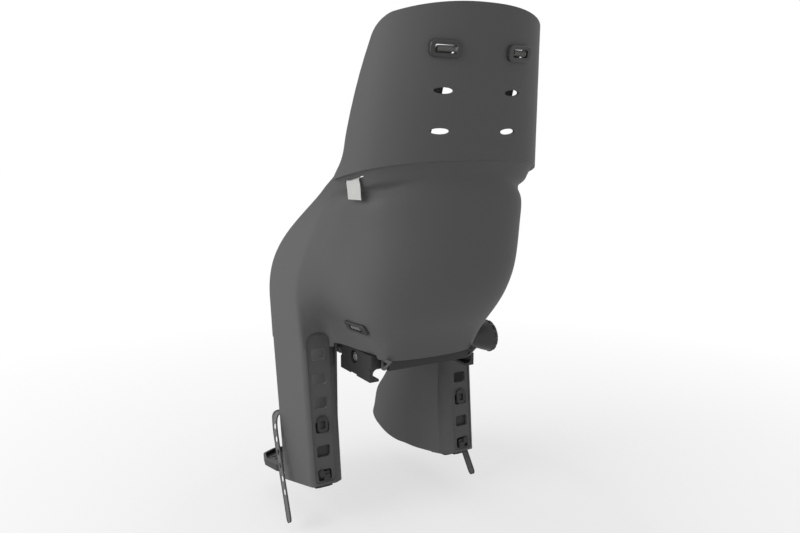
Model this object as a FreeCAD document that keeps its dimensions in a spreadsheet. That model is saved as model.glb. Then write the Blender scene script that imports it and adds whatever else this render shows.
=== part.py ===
import FreeCAD, Part
import math
import os

# Child seat for the rear carrier of a bicycle.
# Millimetres.  +X is the child's left, +Y points to the rear of the bicycle, +Z is up.
# The origin is the centre of the carrier bracket's flat underside, level with the top of the carrier tubes.

V = FreeCAD.Vector
UP = V(0, 0, 1)
BACK = V(0, 1, 0)
LEFT = V(1, 0, 0)

doc = FreeCAD.newDocument("child_bike_seat")
sheet = doc.addObject("Spreadsheet::Sheet", "Sizes")

SIZES = [
    # shell
    ("wall", 4.0, "wall of the moulded shell"),
    ("head_half_width", 168.0, "half width of the curved head part at the ledge"),
    ("head_top_half_width", 146.5, "half width of the curved head part at its top"),
    ("head_depth", 108.0, "depth of the head part's curved section"),
    ("head_recline", 9.5, "recline of the head part in degrees"),
    ("ledge_height", 321.0, "height of the ledge under the head part, at the centre"),
    ("ledge_back", 175.0, "rear face of the head part at the ledge"),
    ("ledge_slope", 0.28, "fall of the ledge towards the front"),
    ("ledge_step", 8.5, "how far the lower back stands in under the ledge"),
    ("head_top", 528.0, "top of the head part at the centre"),
    ("guard_bottom", 209.0, "depth of the leg guards' rear foot below the carrier"),
    ("guard_gap_half", 100.0, "half of the gap between the leg guards"),
    ("skirt_height", 17.0, "height of the skirt's lower edge"),
    ("pan_height", 60.0, "top of the seat pan"),
    ("pan_front", 168.0, "reach of the seat pan in front of the origin"),
    # belt openings
    ("belt_hole_width", 29.4, "width of a belt hole"),
    ("belt_hole_height", 8.6, "height of a belt hole"),
    ("belt_hole_spacing", 115.0, "distance between the two columns of belt holes"),
    ("belt_row_low", 360.3, "height of the lowest belt holes"),
    ("belt_row_pitch", 53.1, "distance between the rows of belt holes"),
    # footrest rail
    ("rail_centre", 137.0, "distance of a footrest rail from the middle"),
    ("rail_width_top", 41.0, "width of the rail strip at its top"),
    ("rail_width_bottom", 36.0, "width of the rail strip at its foot"),
    ("rail_top", 42.0, "top of the rail strip"),
    ("rail_recess", 1.6, "how deep the rail strip lies"),
    ("rail_slot_width", 24.0, "width of a footrest slot"),
    ("rail_slot_height", 19.0, "height of a footrest slot"),
    ("rail_slot_pitch", 40.0, "distance between footrest slots"),
    ("rail_slot_low", -193.0, "height of the lowest footrest slot"),
    # webbing and harness
    ("webbing_width", 25.0, "width of the belt webbing"),
    ("webbing_thick", 1.4, "thickness of the belt webbing"),
    ("fit_gap", 0.3, "clearance between pieces that seat on each other"),
    # retainers
    ("retainer_width", 46.0, "width of a shoulder belt retainer"),
    ("retainer_height", 22.0, "height of a shoulder belt retainer"),
    ("retainer_thick", 4.5, "how far a retainer stands off the shell"),
    # carrier bracket and clamp
    ("bracket_length", 190.0, "length of the carrier bracket"),
    ("bracket_half_width", 74.0, "half width of the carrier bracket"),
    ("bracket_height", 17.0, "height of the carrier bracket's plate"),
    ("tube_radius", 8.0, "radius of the carrier tubes that the jaws hold"),
    ("tube_spacing", 169.2, "distance between the carrier tubes' axes"),
    ("jaw_length", 100.0, "length of a jaw"),
    ("jaw_outer", 98.0, "outer face of a jaw"),
    ("jaw_lip", 20.0, "depth of a jaw's lip below the carrier's top"),
    ("jaw_block_height", 23.0, "height of a jaw's block"),
    ("jaw_tongue", 34.0, "length of a jaw's tongue inside the bracket"),
    ("screw_radius", 4.0, "radius of the clamp screw"),
    ("screw_height", 9.0, "height of the clamp screw's axis"),
    ("screw_back", -3.0, "place of the clamp screw's axis along the jaw"),
    ("knob_radius", 28.0, "radius of the clamp knob"),
    ("knob_centre", 166.0, "distance of the knob's rim from the middle"),
    # footrest and its strap
    ("foot_plate_length", 200.0, "length of a foot plate"),
    ("foot_plate_thick", 5.0, "thickness of a foot plate"),
    ("foot_strap_width", 19.0, "width of a foot strap"),
    ("foot_strap_thick", 2.6, "thickness of a foot strap"),
    ("foot_strap_tail", 280.0, "how far the strap's tail hangs below the carrier's top"),
    # soft parts
    ("cushion_thick", 20.0, "thickness of the back cushion"),
    ("seat_cushion_thick", 24.0, "thickness of the seat cushion"),
]
for number, (alias, size, meaning) in enumerate(SIZES, start=1):
    sheet.set("A%d" % number, meaning)
    sheet.set("B%d" % number, str(size))
    sheet.setAlias("B%d" % number, alias)
doc.recompute()


def size(alias):
    """The value of one named size."""
    return float(sheet.get(alias))


wall = size("wall")
fit_gap = size("fit_gap")
recline = math.radians(size("head_recline"))
RECLINED = V(0, math.sin(recline), math.cos(recline))
SIDES = {"left": 1.0, "right": -1.0}


def add_shape(label, shape):
    """A sub-part whose shape is made with Part's own functions."""
    item = doc.addObject("Part::Feature", label)
    item.Label = label
    item.Shape = shape
    return item


def mirrored(shape):
    """The shape on the child's other side."""
    return shape.mirror(V(0, 0, 0), LEFT)


def prism(points, direction):
    """A polygon carried along a direction."""
    return Part.Face(Part.makePolygon(list(points) + [points[0]])).extrude(direction)


def spline(points):
    """A smooth edge through the points."""
    curve = Part.BSplineCurve()
    curve.interpolate(points)
    return curve.toShape()


def block(x_low, x_high, y_low, y_high, z_low, z_high):
    """A box from its low and high corners."""
    return Part.makeBox(x_high - x_low, y_high - y_low, z_high - z_low, V(x_low, y_low, z_low))


def rounded_block(x_low, x_high, y_low, y_high, z_low, z_high, radius, axis=UP):
    """A box whose four edges along one axis are rounded."""
    box = block(x_low, x_high, y_low, y_high, z_low, z_high)
    edges = [e for e in box.Edges if abs(e.tangentAt(e.FirstParameter).dot(axis)) > 0.99]
    return box.makeFillet(radius, edges)


# Smooth sheets: two surfaces joined at their borders

def net_surface(net):
    """A clamped B-spline surface on a net of control points; between only two rows it is straight."""
    columns = len(net[0])
    degree = min(3, len(net) - 1)
    spans = len(net) - degree
    surface = Part.BSplineSurface()
    surface.buildFromPolesMultsKnots(
        net,
        [degree + 1] + [1] * (spans - 1) + [degree + 1],
        [4] + [1] * (columns - 4) + [4],
        [i / spans for i in range(spans + 1)],
        [i / (columns - 3) for i in range(columns - 2)],
        False, False, degree, 3)
    return surface


def greville(count):
    """The parameter at which each control point of a clamped cubic has its say."""
    knots = [0.0] * 4 + [i / (count - 3) for i in range(1, count - 3)] + [1.0] * 4
    return [sum(knots[i + 1:i + 4]) / 3 for i in range(count)]


def offset_net(net, surface, distance):
    """The net moved along the surface's normals, so that its surface lies a distance inside."""
    columns = greville(len(net[0]))
    moved = []
    for u, row in zip(greville(len(net)), net):
        moved.append([p - surface.normal(u, v) * distance for p, v in zip(row, columns)])
    return moved


def closed_solid(faces):
    """The solid inside faces that meet at their borders."""
    shell = Part.makeCompound(faces)
    shell.sewShape(0.01)
    solid = Part.Solid(shell.Shells[0])
    if solid.Volume < 0:
        solid.reverse()
    return solid


def strip(first, second):
    """The straight strip between two curves whose control points match."""
    surface = Part.BSplineSurface()
    surface.buildFromPolesMultsKnots(
        [first.getPoles(), second.getPoles()],
        [2, 2], first.getMultiplicities(), [0, 1], first.getKnots(),
        False, False, 1, first.Degree)
    return surface.toShape()


def sheet_solid(outer, inner):
    """The closed solid between two surfaces whose parameters both run from 0 to 1."""
    faces = [outer.toShape(), inner.toShape()]
    for end in (0.0, 1.0):
        faces.append(strip(outer.uIso(end), inner.uIso(end)))
        faces.append(strip(outer.vIso(end), inner.vIso(end)))
    return closed_solid(faces)


def between(start, end, share):
    """A point part of the way from one point to another."""
    return start + (end - start) * share


# The lower body: one smooth skin for the back, the wings and the outer walls of the leg guards

# Each station is a share of the way up from the skirt's edge to the ledge, and five places of its section:
# the front edge, the outer rear corner of the guard, the valley between guard and bucket, the ridge of
# the bucket and the back's centre line.
STATIONS = [
    (0.0, (172.6, -160.5), (164.5, -54.5), (106.0, -51.0), (88.0, 61.5), 85.0),
    (0.102, (173.5, -162.0), (166.0, -58.5), (110.0, -52.0), (101.0, 64.0), 98.0),
    (0.181, (174.0, -163.0), (167.0, -63.0), (121.0, -48.0), (116.0, 68.0), 117.0),
    (0.2895, (175.0, -166.0), (169.0, -62.0), (140.0, -14.0), (129.0, 88.0), 139.0),
    (0.4375, (174.0, -152.0), (169.0, -50.0), (152.0, 22.0), (136.0, 106.0), 156.0),
    (0.5855, (172.0, -104.0), (167.0, -14.0), (154.0, 50.0), (135.5, 112.0), 163.0),
    (0.717, (169.0, -38.0), (164.0, 16.0), (155.0, 68.0), (136.5, 114.0), 165.0),
    (0.832, (166.0, 26.0), (162.0, 56.0), (155.0, 85.0), (139.0, 116.0), 166.0),
]
CORNER_LENGTH = 9.0
HALF_COLUMNS = 14


def station_row(share, front, corner, valley, ridge, back):
    """Control points of half a section, from the front edge to the back's centre line."""
    height = size("skirt_height") + share * (size("ledge_height") - size("skirt_height"))
    edge, rear = V(front[0], front[1], height), V(0, back, height)
    bend, dip = V(corner[0], corner[1], height), V(valley[0], valley[1], height)
    crest = V(ridge[0], ridge[1], height)
    return [
        edge,
        between(edge, bend, 0.35),
        between(edge, bend, 0.7),
        bend + (edge - bend).normalize() * CORNER_LENGTH,
        bend,
        bend + (dip - bend).normalize() * CORNER_LENGTH,
        between(bend, dip, 0.55),
        dip,
        between(dip, crest, 0.4),
        between(dip, crest, 0.8),
        V(crest.x * 0.93, between(crest, rear, 0.33).y, height),
        V(crest.x * 0.7, between(crest, rear, 0.74).y, height),
        V(crest.x * 0.33, rear.y - 1.0, height),
        rear,
    ]


NECK_ANGLE = 81.0
NECK_FADE = 24.0
LEDGE_SQUARENESS, TOP_SQUARENESS = 2.6, 2.2

# The rows under the ledge: rise over the ledge's centre, share of the ledge's step by which the row
# stands in, and where its front edge lies, measured from the ledge's half width, rear face and height.
LEDGE_ROWS = [
    (-24.0, 1.08, (-1.0, -127.0, -37.0)),
    (-13.0, 1.0, (-1.1, -111.0, -29.0)),
    (-4.0, 0.55, (-1.2, -99.0, -22.0)),
    (3.0, 0.13, (-1.2, -89.0, -15.5)),
]
FRONT_PULL = (1.0, 0.66, 0.36, 0.14, 0.03)


def head_girth(height):
    """Half width and squareness of the head part's rounded section at a height."""
    share = (height - size("ledge_height")) / (size("head_top") - size("ledge_height"))
    half_width = size("head_half_width") + (size("head_top_half_width") - size("head_half_width")) * share
    return half_width, LEDGE_SQUARENESS + (TOP_SQUARENESS - LEDGE_SQUARENESS) * share


def head_section(angle, inset, height):
    """Width and depth on the head part's section, at an angle from the back's centre line and a height."""
    half_width, squareness = head_girth(height)
    power = 2.0 / squareness
    x = (half_width - inset) * math.sin(angle) ** power
    drop = size("head_depth") - (size("head_depth") - inset) * math.cos(angle) ** power
    return x, drop


def head_back(height):
    """The rear face of the head part's centre line at a height."""
    return size("ledge_back") + (height - size("ledge_height")) * math.tan(recline)


def ledge_row(rise, inset, front):
    """Control points of half a section under the ledge, set in from the head part's section."""
    row = []
    for i in range(HALF_COLUMNS):
        degrees = NECK_ANGLE * (1.0 - i / (HALF_COLUMNS - 1))
        fade = min(1.0, (NECK_ANGLE - degrees) / NECK_FADE)
        inward = inset * size("ledge_step") * fade * fade * (3.0 - 2.0 * fade)
        x, drop = head_section(math.radians(degrees), inward, size("ledge_height"))
        z = size("ledge_height") + rise - drop * size("ledge_slope")
        row.append(V(x, head_back(z) - drop, z))
    edge = V(size("head_half_width"), size("ledge_back"), size("ledge_height")) + V(*front)
    pull = edge - row[0]
    for i, share in enumerate(FRONT_PULL):
        row[i] += pull * share
    return row


def body_net():
    """The whole net of the lower body, from the guards' feet up to the ledge."""
    halves = [station_row(*station) for station in STATIONS] + [ledge_row(*row) for row in LEDGE_ROWS]
    return [half + [V(-p.x, p.y, p.z) for p in reversed(half[:-1])] for half in halves]


outer_net = body_net()
body_surface = net_surface(outer_net)
OUTWARD = 1.0 if body_surface.normal(0.5, 0.5).y > 0 else -1.0
body_inner = net_surface(offset_net(outer_net, body_surface, OUTWARD * wall))
body_skin = sheet_solid(body_surface, body_inner)


def skin_point(height, column, inset):
    """The point of the lower body's skin at a height, in a column of the surface, set in from outside."""
    low, high = 0.0, 1.0
    for _ in range(40):
        middle = (low + high) / 2
        if body_surface.value(middle, column).z < height:
            low = middle
        else:
            high = middle
    return body_surface.value(low, column) - body_surface.normal(low, column) * (OUTWARD * inset)


def skin_frame(near):
    """The point of the lower body's skin nearest to a place, and the outward direction there."""
    u, v = body_surface.parameter(near)
    return body_surface.value(u, v), body_surface.normal(u, v) * OUTWARD


# The head part: a rounded section that narrows up the reclined back, trimmed by its side outline

HEAD_TURN = 6
HEAD_BELOW, HEAD_ABOVE = 56.0, 30.0

# Places of the side outline: distance behind the ledge's rear face and share of the head part's height
HEAD_FRONT = [(-91.0, -0.082), (-85.0, -0.0435), (-80.0, -0.005), (-75.0, 0.068), (-73.0, 0.14),
              (-70.0, 0.217), (-58.0, 0.449), (-47.0, 0.623), (-37.0, 0.763)]
HEAD_CORNER = [(-29.0, 0.845), (-11.0, 0.923)]
HEAD_CROWN = [(33.0, 0.995), (85.0, 1.072)]
NECK_FRONT = -97.0
OUTLINE_X = 220.0


def head_curve(inset, height):
    """Control points of the rounded section at a height, from the child's right to the left."""
    points = []
    for degrees in range(-90, 91, HEAD_TURN):
        x, drop = head_section(math.radians(abs(degrees)), inset, height)
        points.append(V(math.copysign(x, degrees), head_back(height) - drop, height))
    return points


def head_part():
    """The curved head part with its ledge and its rounded top corners."""
    low, high = size("ledge_height") - HEAD_BELOW, size("head_top") + HEAD_ABOVE
    outer = net_surface([head_curve(0.0, low), head_curve(0.0, high)])
    inner = net_surface([head_curve(wall, low), head_curve(wall, high)])
    return sheet_solid(outer, inner).common(head_outline())


def side_point(place):
    """A place of the head part's side outline, on a plane beside the seat."""
    rise = size("head_top") - size("ledge_height")
    return V(-OUTLINE_X, size("ledge_back") + place[0], size("ledge_height") + place[1] * rise)


def head_outline():
    """Everything behind the head part's front edge, over its ledge and under its top."""
    ledge, slope, back = size("ledge_height"), size("ledge_slope"), size("ledge_back")
    neck = V(-OUTLINE_X, back + NECK_FRONT, ledge + NECK_FRONT * slope)
    front = [neck] + [side_point(place) for place in HEAD_FRONT]
    corner = [side_point(place) for place in HEAD_CORNER]
    crown = [corner[-1]] + [side_point(place) for place in HEAD_CROWN]
    rear = V(-OUTLINE_X, crown[-1].y, ledge + (crown[-1].y - back) * slope)
    edges = [spline(front), Part.Arc(front[-1], corner[0], corner[1]).toShape()]
    edges += [Part.makeLine(p, q) for p, q in zip(crown + [rear], crown[1:] + [rear, neck])]
    return Part.Face(Part.Wire(edges)).extrude(V(2 * OUTLINE_X, 0, 0))


# The leg guards: a channel open to the front, with a deeper wall beside the wheel

def rounded_wire(points, radii):
    """A closed wire of straight lines whose corners are rounded by the given radii."""
    starts, middles, stops = [], [], []
    count = len(points)
    for i, (point, radius) in enumerate(zip(points, radii)):
        before = (points[i - 1] - point).normalize()
        after = (points[(i + 1) % count] - point).normalize()
        half = before.getAngle(after) / 2
        starts.append(point + before * (radius / math.tan(half)))
        stops.append(point + after * (radius / math.tan(half)))
        middles.append(point + (before + after).normalize() * (radius / math.sin(half) - radius))
    edges = []
    for i in range(count):
        if radii[i]:
            edges.append(Part.Arc(starts[i], middles[i], stops[i]).toShape())
        edges.append(Part.makeLine(stops[i], starts[(i + 1) % count]))
    return Part.Wire(edges)


GUARD_TOP = 24.0
GUARD_HEEL_TOP, GUARD_HEEL_FOOT = -54.5, -30.5
GUARD_FRONT_TOP, GUARD_FRONT_FOOT = (172.0, -160.0), (166.1, -141.4)
GUARD_CORNER_TOP, GUARD_CORNER_FOOT = 163.7, 161.0
GUARD_STUB = 50.0
GUARD_STEP = 0.9
GUARD_BELOW = 34.0
SOLE_FALL = 0.24
SOLE_REACH = (90.0, 200.0)
RAIL_FOOT = 4.0
BACKING_MARGIN = 0.8
lean = math.atan((GUARD_HEEL_FOOT - GUARD_HEEL_TOP) / (GUARD_TOP + size("guard_bottom")))
rail_frame = FreeCAD.Placement(V(0, GUARD_HEEL_FOOT, -size("guard_bottom")),
                               FreeCAD.Rotation(LEFT, math.degrees(lean)))


def in_rail(shape):
    """A shape drawn with X across the rail, Y out of its rear face and Z up along it, put in its place."""
    placed = shape.copy()
    placed.Placement = rail_frame.multiply(placed.Placement)
    return placed


def channel_section(height):
    """A closed U-shaped section of the left guard's channel at one height."""
    gap = size("guard_gap_half")
    share = (GUARD_TOP - height) / (GUARD_TOP + size("guard_bottom"))
    front = between(V(*GUARD_FRONT_TOP, height), V(*GUARD_FRONT_FOOT, height), share)
    heel = GUARD_HEEL_TOP + (GUARD_HEEL_FOOT - GUARD_HEEL_TOP) * share
    corner = V(GUARD_CORNER_TOP + (GUARD_CORNER_FOOT - GUARD_CORNER_TOP) * share, heel, height)
    outside = [front, corner, V(gap, heel, height), V(gap, heel - GUARD_STUB, height)]
    thick = wall + GUARD_STEP
    shifts = ((-thick, 0), (-thick, -thick), (wall, -thick), (wall, 0))
    inside = [p + V(*shift, 0) for p, shift in zip(outside, shifts)]
    return rounded_wire(outside + inside[::-1], (0, 9.0, 24.0, 0, 0, 20.0, 5.0, 0))


def under_sole():
    """Everything under the guard's sole, which falls towards the front."""
    near, far = SOLE_REACH
    heel, foot = GUARD_HEEL_FOOT, -size("guard_bottom")
    points = [V(near, heel + 60, foot + 60 * SOLE_FALL), V(near, heel - 200, foot - 200 * SOLE_FALL),
              V(near, heel - 200, foot - 200), V(near, heel + 60, foot - 200)]
    return prism(points, V(far - near, 0, 0))


def rail_outline(margin, y):
    """The rail strip's outline with its round head, grown by a margin."""
    centre, foot = size("rail_centre"), RAIL_FOOT - margin
    half_foot, half_head = size("rail_width_bottom") / 2 + margin, size("rail_width_top") / 2 + margin
    head = (size("rail_top") + size("guard_bottom")) / math.cos(lean) + margin
    points = [V(centre - half_foot, y, foot), V(centre + half_foot, y, foot),
              V(centre + half_head, y, head), V(centre - half_head, y, head)]
    return Part.Face(rounded_wire(points, (6.0 + margin, 6.0 + margin, 17.0 + margin, 17.0 + margin)))


def slot_place(step):
    """Height of a footrest slot's centre along the rail."""
    low = (size("rail_slot_low") + size("guard_bottom")) / math.cos(lean)
    return low + step * size("rail_slot_pitch")


def rail_slot(step):
    """The cutter of one rounded footrest slot."""
    centre, half = size("rail_centre"), size("rail_slot_width") / 2
    tall = size("rail_slot_height") / 2
    place = slot_place(step)
    return rounded_block(centre - half, centre + half, -20, 12, place - tall, place + tall, 4.0, BACK)


# The wheel-side wall's free edge: place along the bicycle and depth under the guards' rear foot
TOE = [(-60.0, 7.2), (-85.0, 12.0), (-112.0, 17.5), (-145.0, 23.5), (-178.0, 27.5), (-201.0, 31.0),
       (-229.0, 32.0), (-257.0, 29.0), (-278.0, 23.0), (-296.0, 15.0), (-304.0, 4.0), (-300.0, -9.0),
       (-295.0, -24.0), (-286.0, -52.0), (-262.0, -81.0), (-226.0, -129.0), (-198.0, -177.0),
       (-181.0, -224.0)]


def wheel_wall():
    """The deep flat wall of the left guard beside the wheel, with its rounded toe."""
    gap = size("guard_gap_half")
    top = size("pan_height") - wall
    toe = [V(gap, y, -size("guard_bottom") - depth) for y, depth in TOE] + [V(gap, -size("pan_front"), top)]
    rest = [toe[-1], V(gap, toe[0].y, top), toe[0]]
    edges = [spline(toe)] + [Part.makeLine(p, q) for p, q in zip(rest, rest[1:])]
    return Part.Face(Part.Wire(edges)).extrude(V(wall, 0, 0))


def leg_guard():
    """The left guard: its channel, its wheel-side wall and the footrest rail."""
    sections = [channel_section(-size("guard_bottom") - GUARD_BELOW), channel_section(GUARD_TOP)]
    channel = Part.makeLoft(sections, True, True).cut(under_sole())
    backing = in_rail(rail_outline(BACKING_MARGIN, -7.0).extrude(V(0, 5.0, 0)))
    return channel.fuse([wheel_wall(), backing])


RAIL_SLOTS = 6


def rail_cutters():
    """The recess of the left rail and its slots."""
    recess = rail_outline(0.0, -size("rail_recess")).extrude(V(0, 30.0, 0))
    return [in_rail(recess)] + [in_rail(rail_slot(step)) for step in range(RAIL_SLOTS)]


# The seat pan between the guards, with its rolled front edge and the bosses for the bracket

def pan_part():
    """The seat pan, trimmed to the bucket at the back and rolled down at the front."""
    low, top = size("pan_height") - wall, size("pan_height")
    columns = [0.27 + 0.02 * i for i in range(24)]
    rim = [skin_point(low + wall / 2, column, 2.0) for column in columns]
    rim = [V(p.x, p.y, low) for p in rim if p.y > -52.0]
    left = [p for p in rim if p.x >= 0]
    right = [V(-p.x, p.y, low) for p in reversed(left)]
    outline = left + right
    gap = size("guard_gap_half")
    rear = Part.Face(Part.makePolygon(outline + [outline[0]])).extrude(V(0, 0, wall))
    front_y, radius = -size("pan_front"), 22.0
    plate = block(-gap - wall, gap + wall, front_y + radius, -40, low, top)
    start = V(-gap - wall / 2, front_y + radius, top - radius)
    roll = Part.makeCylinder(radius, 2 * gap + wall, start, LEFT)
    roll = roll.cut(Part.makeCylinder(radius - wall, 2 * gap + wall, start, LEFT))
    roll = roll.common(block(-gap - wall, gap + wall, front_y - 1, front_y + radius, top - radius, top + 1))
    apron = block(-gap - wall / 2, gap + wall / 2, front_y, front_y + wall, 14, top - radius)
    return rear.fuse([plate, roll, apron])


CROTCH_BACK = -52.0
BOSSES = ((48.0, -88.0), (48.0, 44.0), (-48.0, -88.0), (-48.0, 44.0))
BOSS_RADIUS = 9.0
BOLT_RADIUS = 3.0


def bosses():
    """Four hollow bosses under the pan that the bracket is bolted to."""
    low = size("bracket_height")
    tall = size("pan_height") - wall - low + 1.0
    made = []
    for x, y in BOSSES:
        pilot = Part.makeCylinder(BOLT_RADIUS - 0.4, 20, V(x, y, low))
        made.append(Part.makeCylinder(BOSS_RADIUS, tall, V(x, y, low)).cut(pilot))
    return made


def skirt_tab():
    """The left triangular tab under the skirt's rear corner, with its window."""
    x, height = 77.0, size("skirt_height") + 3.0
    outer = prism([V(x, 52, height), V(x, 84, height), V(x, 62, 0), V(x, 54, 0)], V(3.0, 0, 0))
    window = prism([V(x - 1, 56, height - 6), V(x - 1, 74, height - 6), V(x - 1, 60, 5)], V(5.0, 0, 0))
    return outer.cut(window)


# Openings for the belts, cut square to the reclined back

TOP_SLOT_HEIGHT = 11.6


def head_drop(x, height):
    """How far the head part's rear face stands in from its centre line at a place across the back."""
    half_width, squareness = head_girth(height)
    angle = math.asin((abs(x) / half_width) ** (squareness / 2))
    return head_section(angle, 0.0, height)[1]


def back_turn(x, height):
    """How far the head part's rear face is turned about the upright axis at a place, in degrees."""
    fall = (head_drop(abs(x) + 1.0, height) - head_drop(abs(x) - 1.0, height)) / 2
    return math.copysign(math.degrees(math.atan(fall)), x)


def on_back(shape, x, height):
    """A shape drawn about the origin with Y out of the back, put on the head part's rear face."""
    placed = shape.copy()
    lean_back = FreeCAD.Rotation(LEFT, -size("head_recline"))
    turn = lean_back.multiply(FreeCAD.Rotation(UP, -back_turn(x, height)))
    placed.Placement = FreeCAD.Placement(V(x, head_back(height) - head_drop(x, height), height), turn)
    return placed


def oval(width, height, depth):
    """A rounded slot along X, carried along Y through the wall."""
    radius = height / 2 - 0.01
    return rounded_block(-width / 2, width / 2, -depth, depth, -height / 2, height / 2, radius, BACK)


def ellipse(width, height, depth):
    """An elliptic opening with its long axis along X, carried along Y through the wall."""
    edge = Part.Ellipse(V(0, 0, 0), width / 2, height / 2).toShape()
    edge.rotate(V(0, 0, 0), LEFT, 90)
    edge.translate(V(0, -depth, 0))
    return Part.Face(Part.Wire([edge])).extrude(V(0, 2 * depth, 0))


def belt_cutters():
    """Two columns of belt holes and the openings of the retainers over them."""
    cutters = []
    half = size("belt_hole_spacing") / 2
    for sign in SIDES.values():
        for step in range(2):
            height = size("belt_row_low") + step * size("belt_row_pitch")
            hole = ellipse(size("belt_hole_width"), size("belt_hole_height"), 12)
            cutters.append(on_back(hole, sign * half, height))
        height = size("belt_row_low") + 2 * size("belt_row_pitch")
        slot = oval(size("belt_hole_width") + 2, TOP_SLOT_HEIGHT, 12)
        cutters.append(on_back(slot, sign * (half + 3.0), height))
    return cutters


def lap_cutter():
    """The opening of the left lap belt in the bucket's side."""
    return on_side(oval(size("belt_hole_width"), 7.0, 12))


LAP_PLACE = V(size("guard_gap_half") + 13.6, 38.0, size("pan_height") + 7.5)


def lap_frame():
    """Place and turn of the left lap belt opening on the bucket's skin."""
    point, normal = skin_frame(LAP_PLACE)
    along = UP.cross(normal).normalize()
    return point, FreeCAD.Rotation(along * -1, normal, normal.cross(along) * -1, "YXZ"), normal


lap_point, lap_turn, lap_normal = lap_frame()


def on_side(shape):
    """A shape drawn about the origin with Y outwards, put on the left side of the bucket."""
    placed = shape.copy()
    placed.Placement = FreeCAD.Placement(lap_point, lap_turn)
    return placed


# The slit of the tag, with its ends measured from the ledge's half width, rear face and height
LEDGE_CORNER = V(size("head_half_width"), size("ledge_back"), size("ledge_height"))
SLIT_START, SLIT_END = LEDGE_CORNER + V(-11.1, -82.9, -29.2), LEDGE_CORNER + V(-24.9, -53.7, -20.1)
SLIT_HEIGHT = 2.4
slit_run = (SLIT_START - SLIT_END).normalize()
slit_mouth, slit_out = skin_frame(between(SLIT_START, SLIT_END, 0.5))
slit_out = (slit_out - slit_run * slit_out.dot(slit_run)).normalize()
slit_turn = FreeCAD.Rotation(slit_run, slit_out, slit_run.cross(slit_out), "XYZ")
slit_place = FreeCAD.Placement(slit_mouth, slit_turn)


def at_slit(shape):
    """A shape drawn about the slit's mouth with X along it and Y outwards, put in its place."""
    placed = shape.copy()
    placed.Placement = slit_place
    return placed


def tag_slit():
    """The cutter of the slit that the cloth tag hangs from."""
    half = (SLIT_END - SLIT_START).Length / 2
    return at_slit(block(-half, half, -16, 16, -SLIT_HEIGHT / 2, SLIT_HEIGHT / 2))


JAW_ZONE = 54.0
BRACKET_CORE = 60.0


def jaw_room():
    """The room for the left jaw and its travel, cut into the skirt."""
    reach = size("jaw_outer") + 14.0
    return block(BRACKET_CORE, reach, -JAW_ZONE - 2.0, JAW_ZONE, 0, size("jaw_block_height") + 1.0)


def seat_shell():
    """The one-piece moulded shell."""
    left = [leg_guard(), skirt_tab()]
    parts = bosses() + [pan_part(), head_part()] + left + [mirrored(p) for p in left]
    shell = body_skin.fuse(parts)
    cutters = belt_cutters() + [tag_slit()]
    cutters.append(block(-15, 15, CROTCH_BACK - 2.0, CROTCH_BACK + 2.0, 0, size("pan_height") + 1))
    for cutter in rail_cutters() + [lap_cutter(), jaw_room()]:
        cutters += [cutter, mirrored(cutter)]
    return shell.cut(cutters)


shell_shape = seat_shell()
add_shape("seat_shell", shell_shape)


# Helpers for pieces made of Part primitives whose sizes are bound to the sheet

def primitive(kind, name, place, **sizes):
    """A Part primitive whose sizes are numbers or expressions on the sheet."""
    item = doc.addObject("Part::" + kind, name)
    item.Placement = place
    for key, value in sizes.items():
        if isinstance(value, str):
            item.setExpression(key, value)
        else:
            setattr(item, key, value)
    return item


def at(x, y, z, axis=UP, degrees=0.0):
    """A placement from a point and a turn about an axis."""
    return FreeCAD.Placement(V(x, y, z), FreeCAD.Rotation(axis, degrees))


def bind(item, **places):
    """Ties the coordinates of a primitive's place to the sheet."""
    for key, expression in places.items():
        item.setExpression("Placement.Base." + key, expression)
    return item


def cut(label, base, tools):
    """A base piece with the tools taken out of it."""
    joined = tools[0]
    if len(tools) > 1:
        joined = doc.addObject("Part::MultiFuse", label + "_tools")
        joined.Shapes = tools
    item = doc.addObject("Part::Cut", label)
    item.Base, item.Tool = base, joined
    item.Label = label
    return item


def fuse(label, shapes):
    """Several primitives joined into one piece."""
    item = doc.addObject("Part::MultiFuse", label)
    item.Shapes = shapes
    item.Refine = True
    item.Label = label
    return item


ALONG_X = (BACK, 90.0)


# The carrier bracket: a ribbed plate under the pan with tunnels for the jaws' tongues and the screw

TONGUE_Y = 32.0
TONGUE_WIDTH, TONGUE_HEIGHT, TONGUE_LOW = 10.0, 8.0, 5.0
BOLT_HEAD = 3.4
BOLT_LENGTH = 30.0


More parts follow.
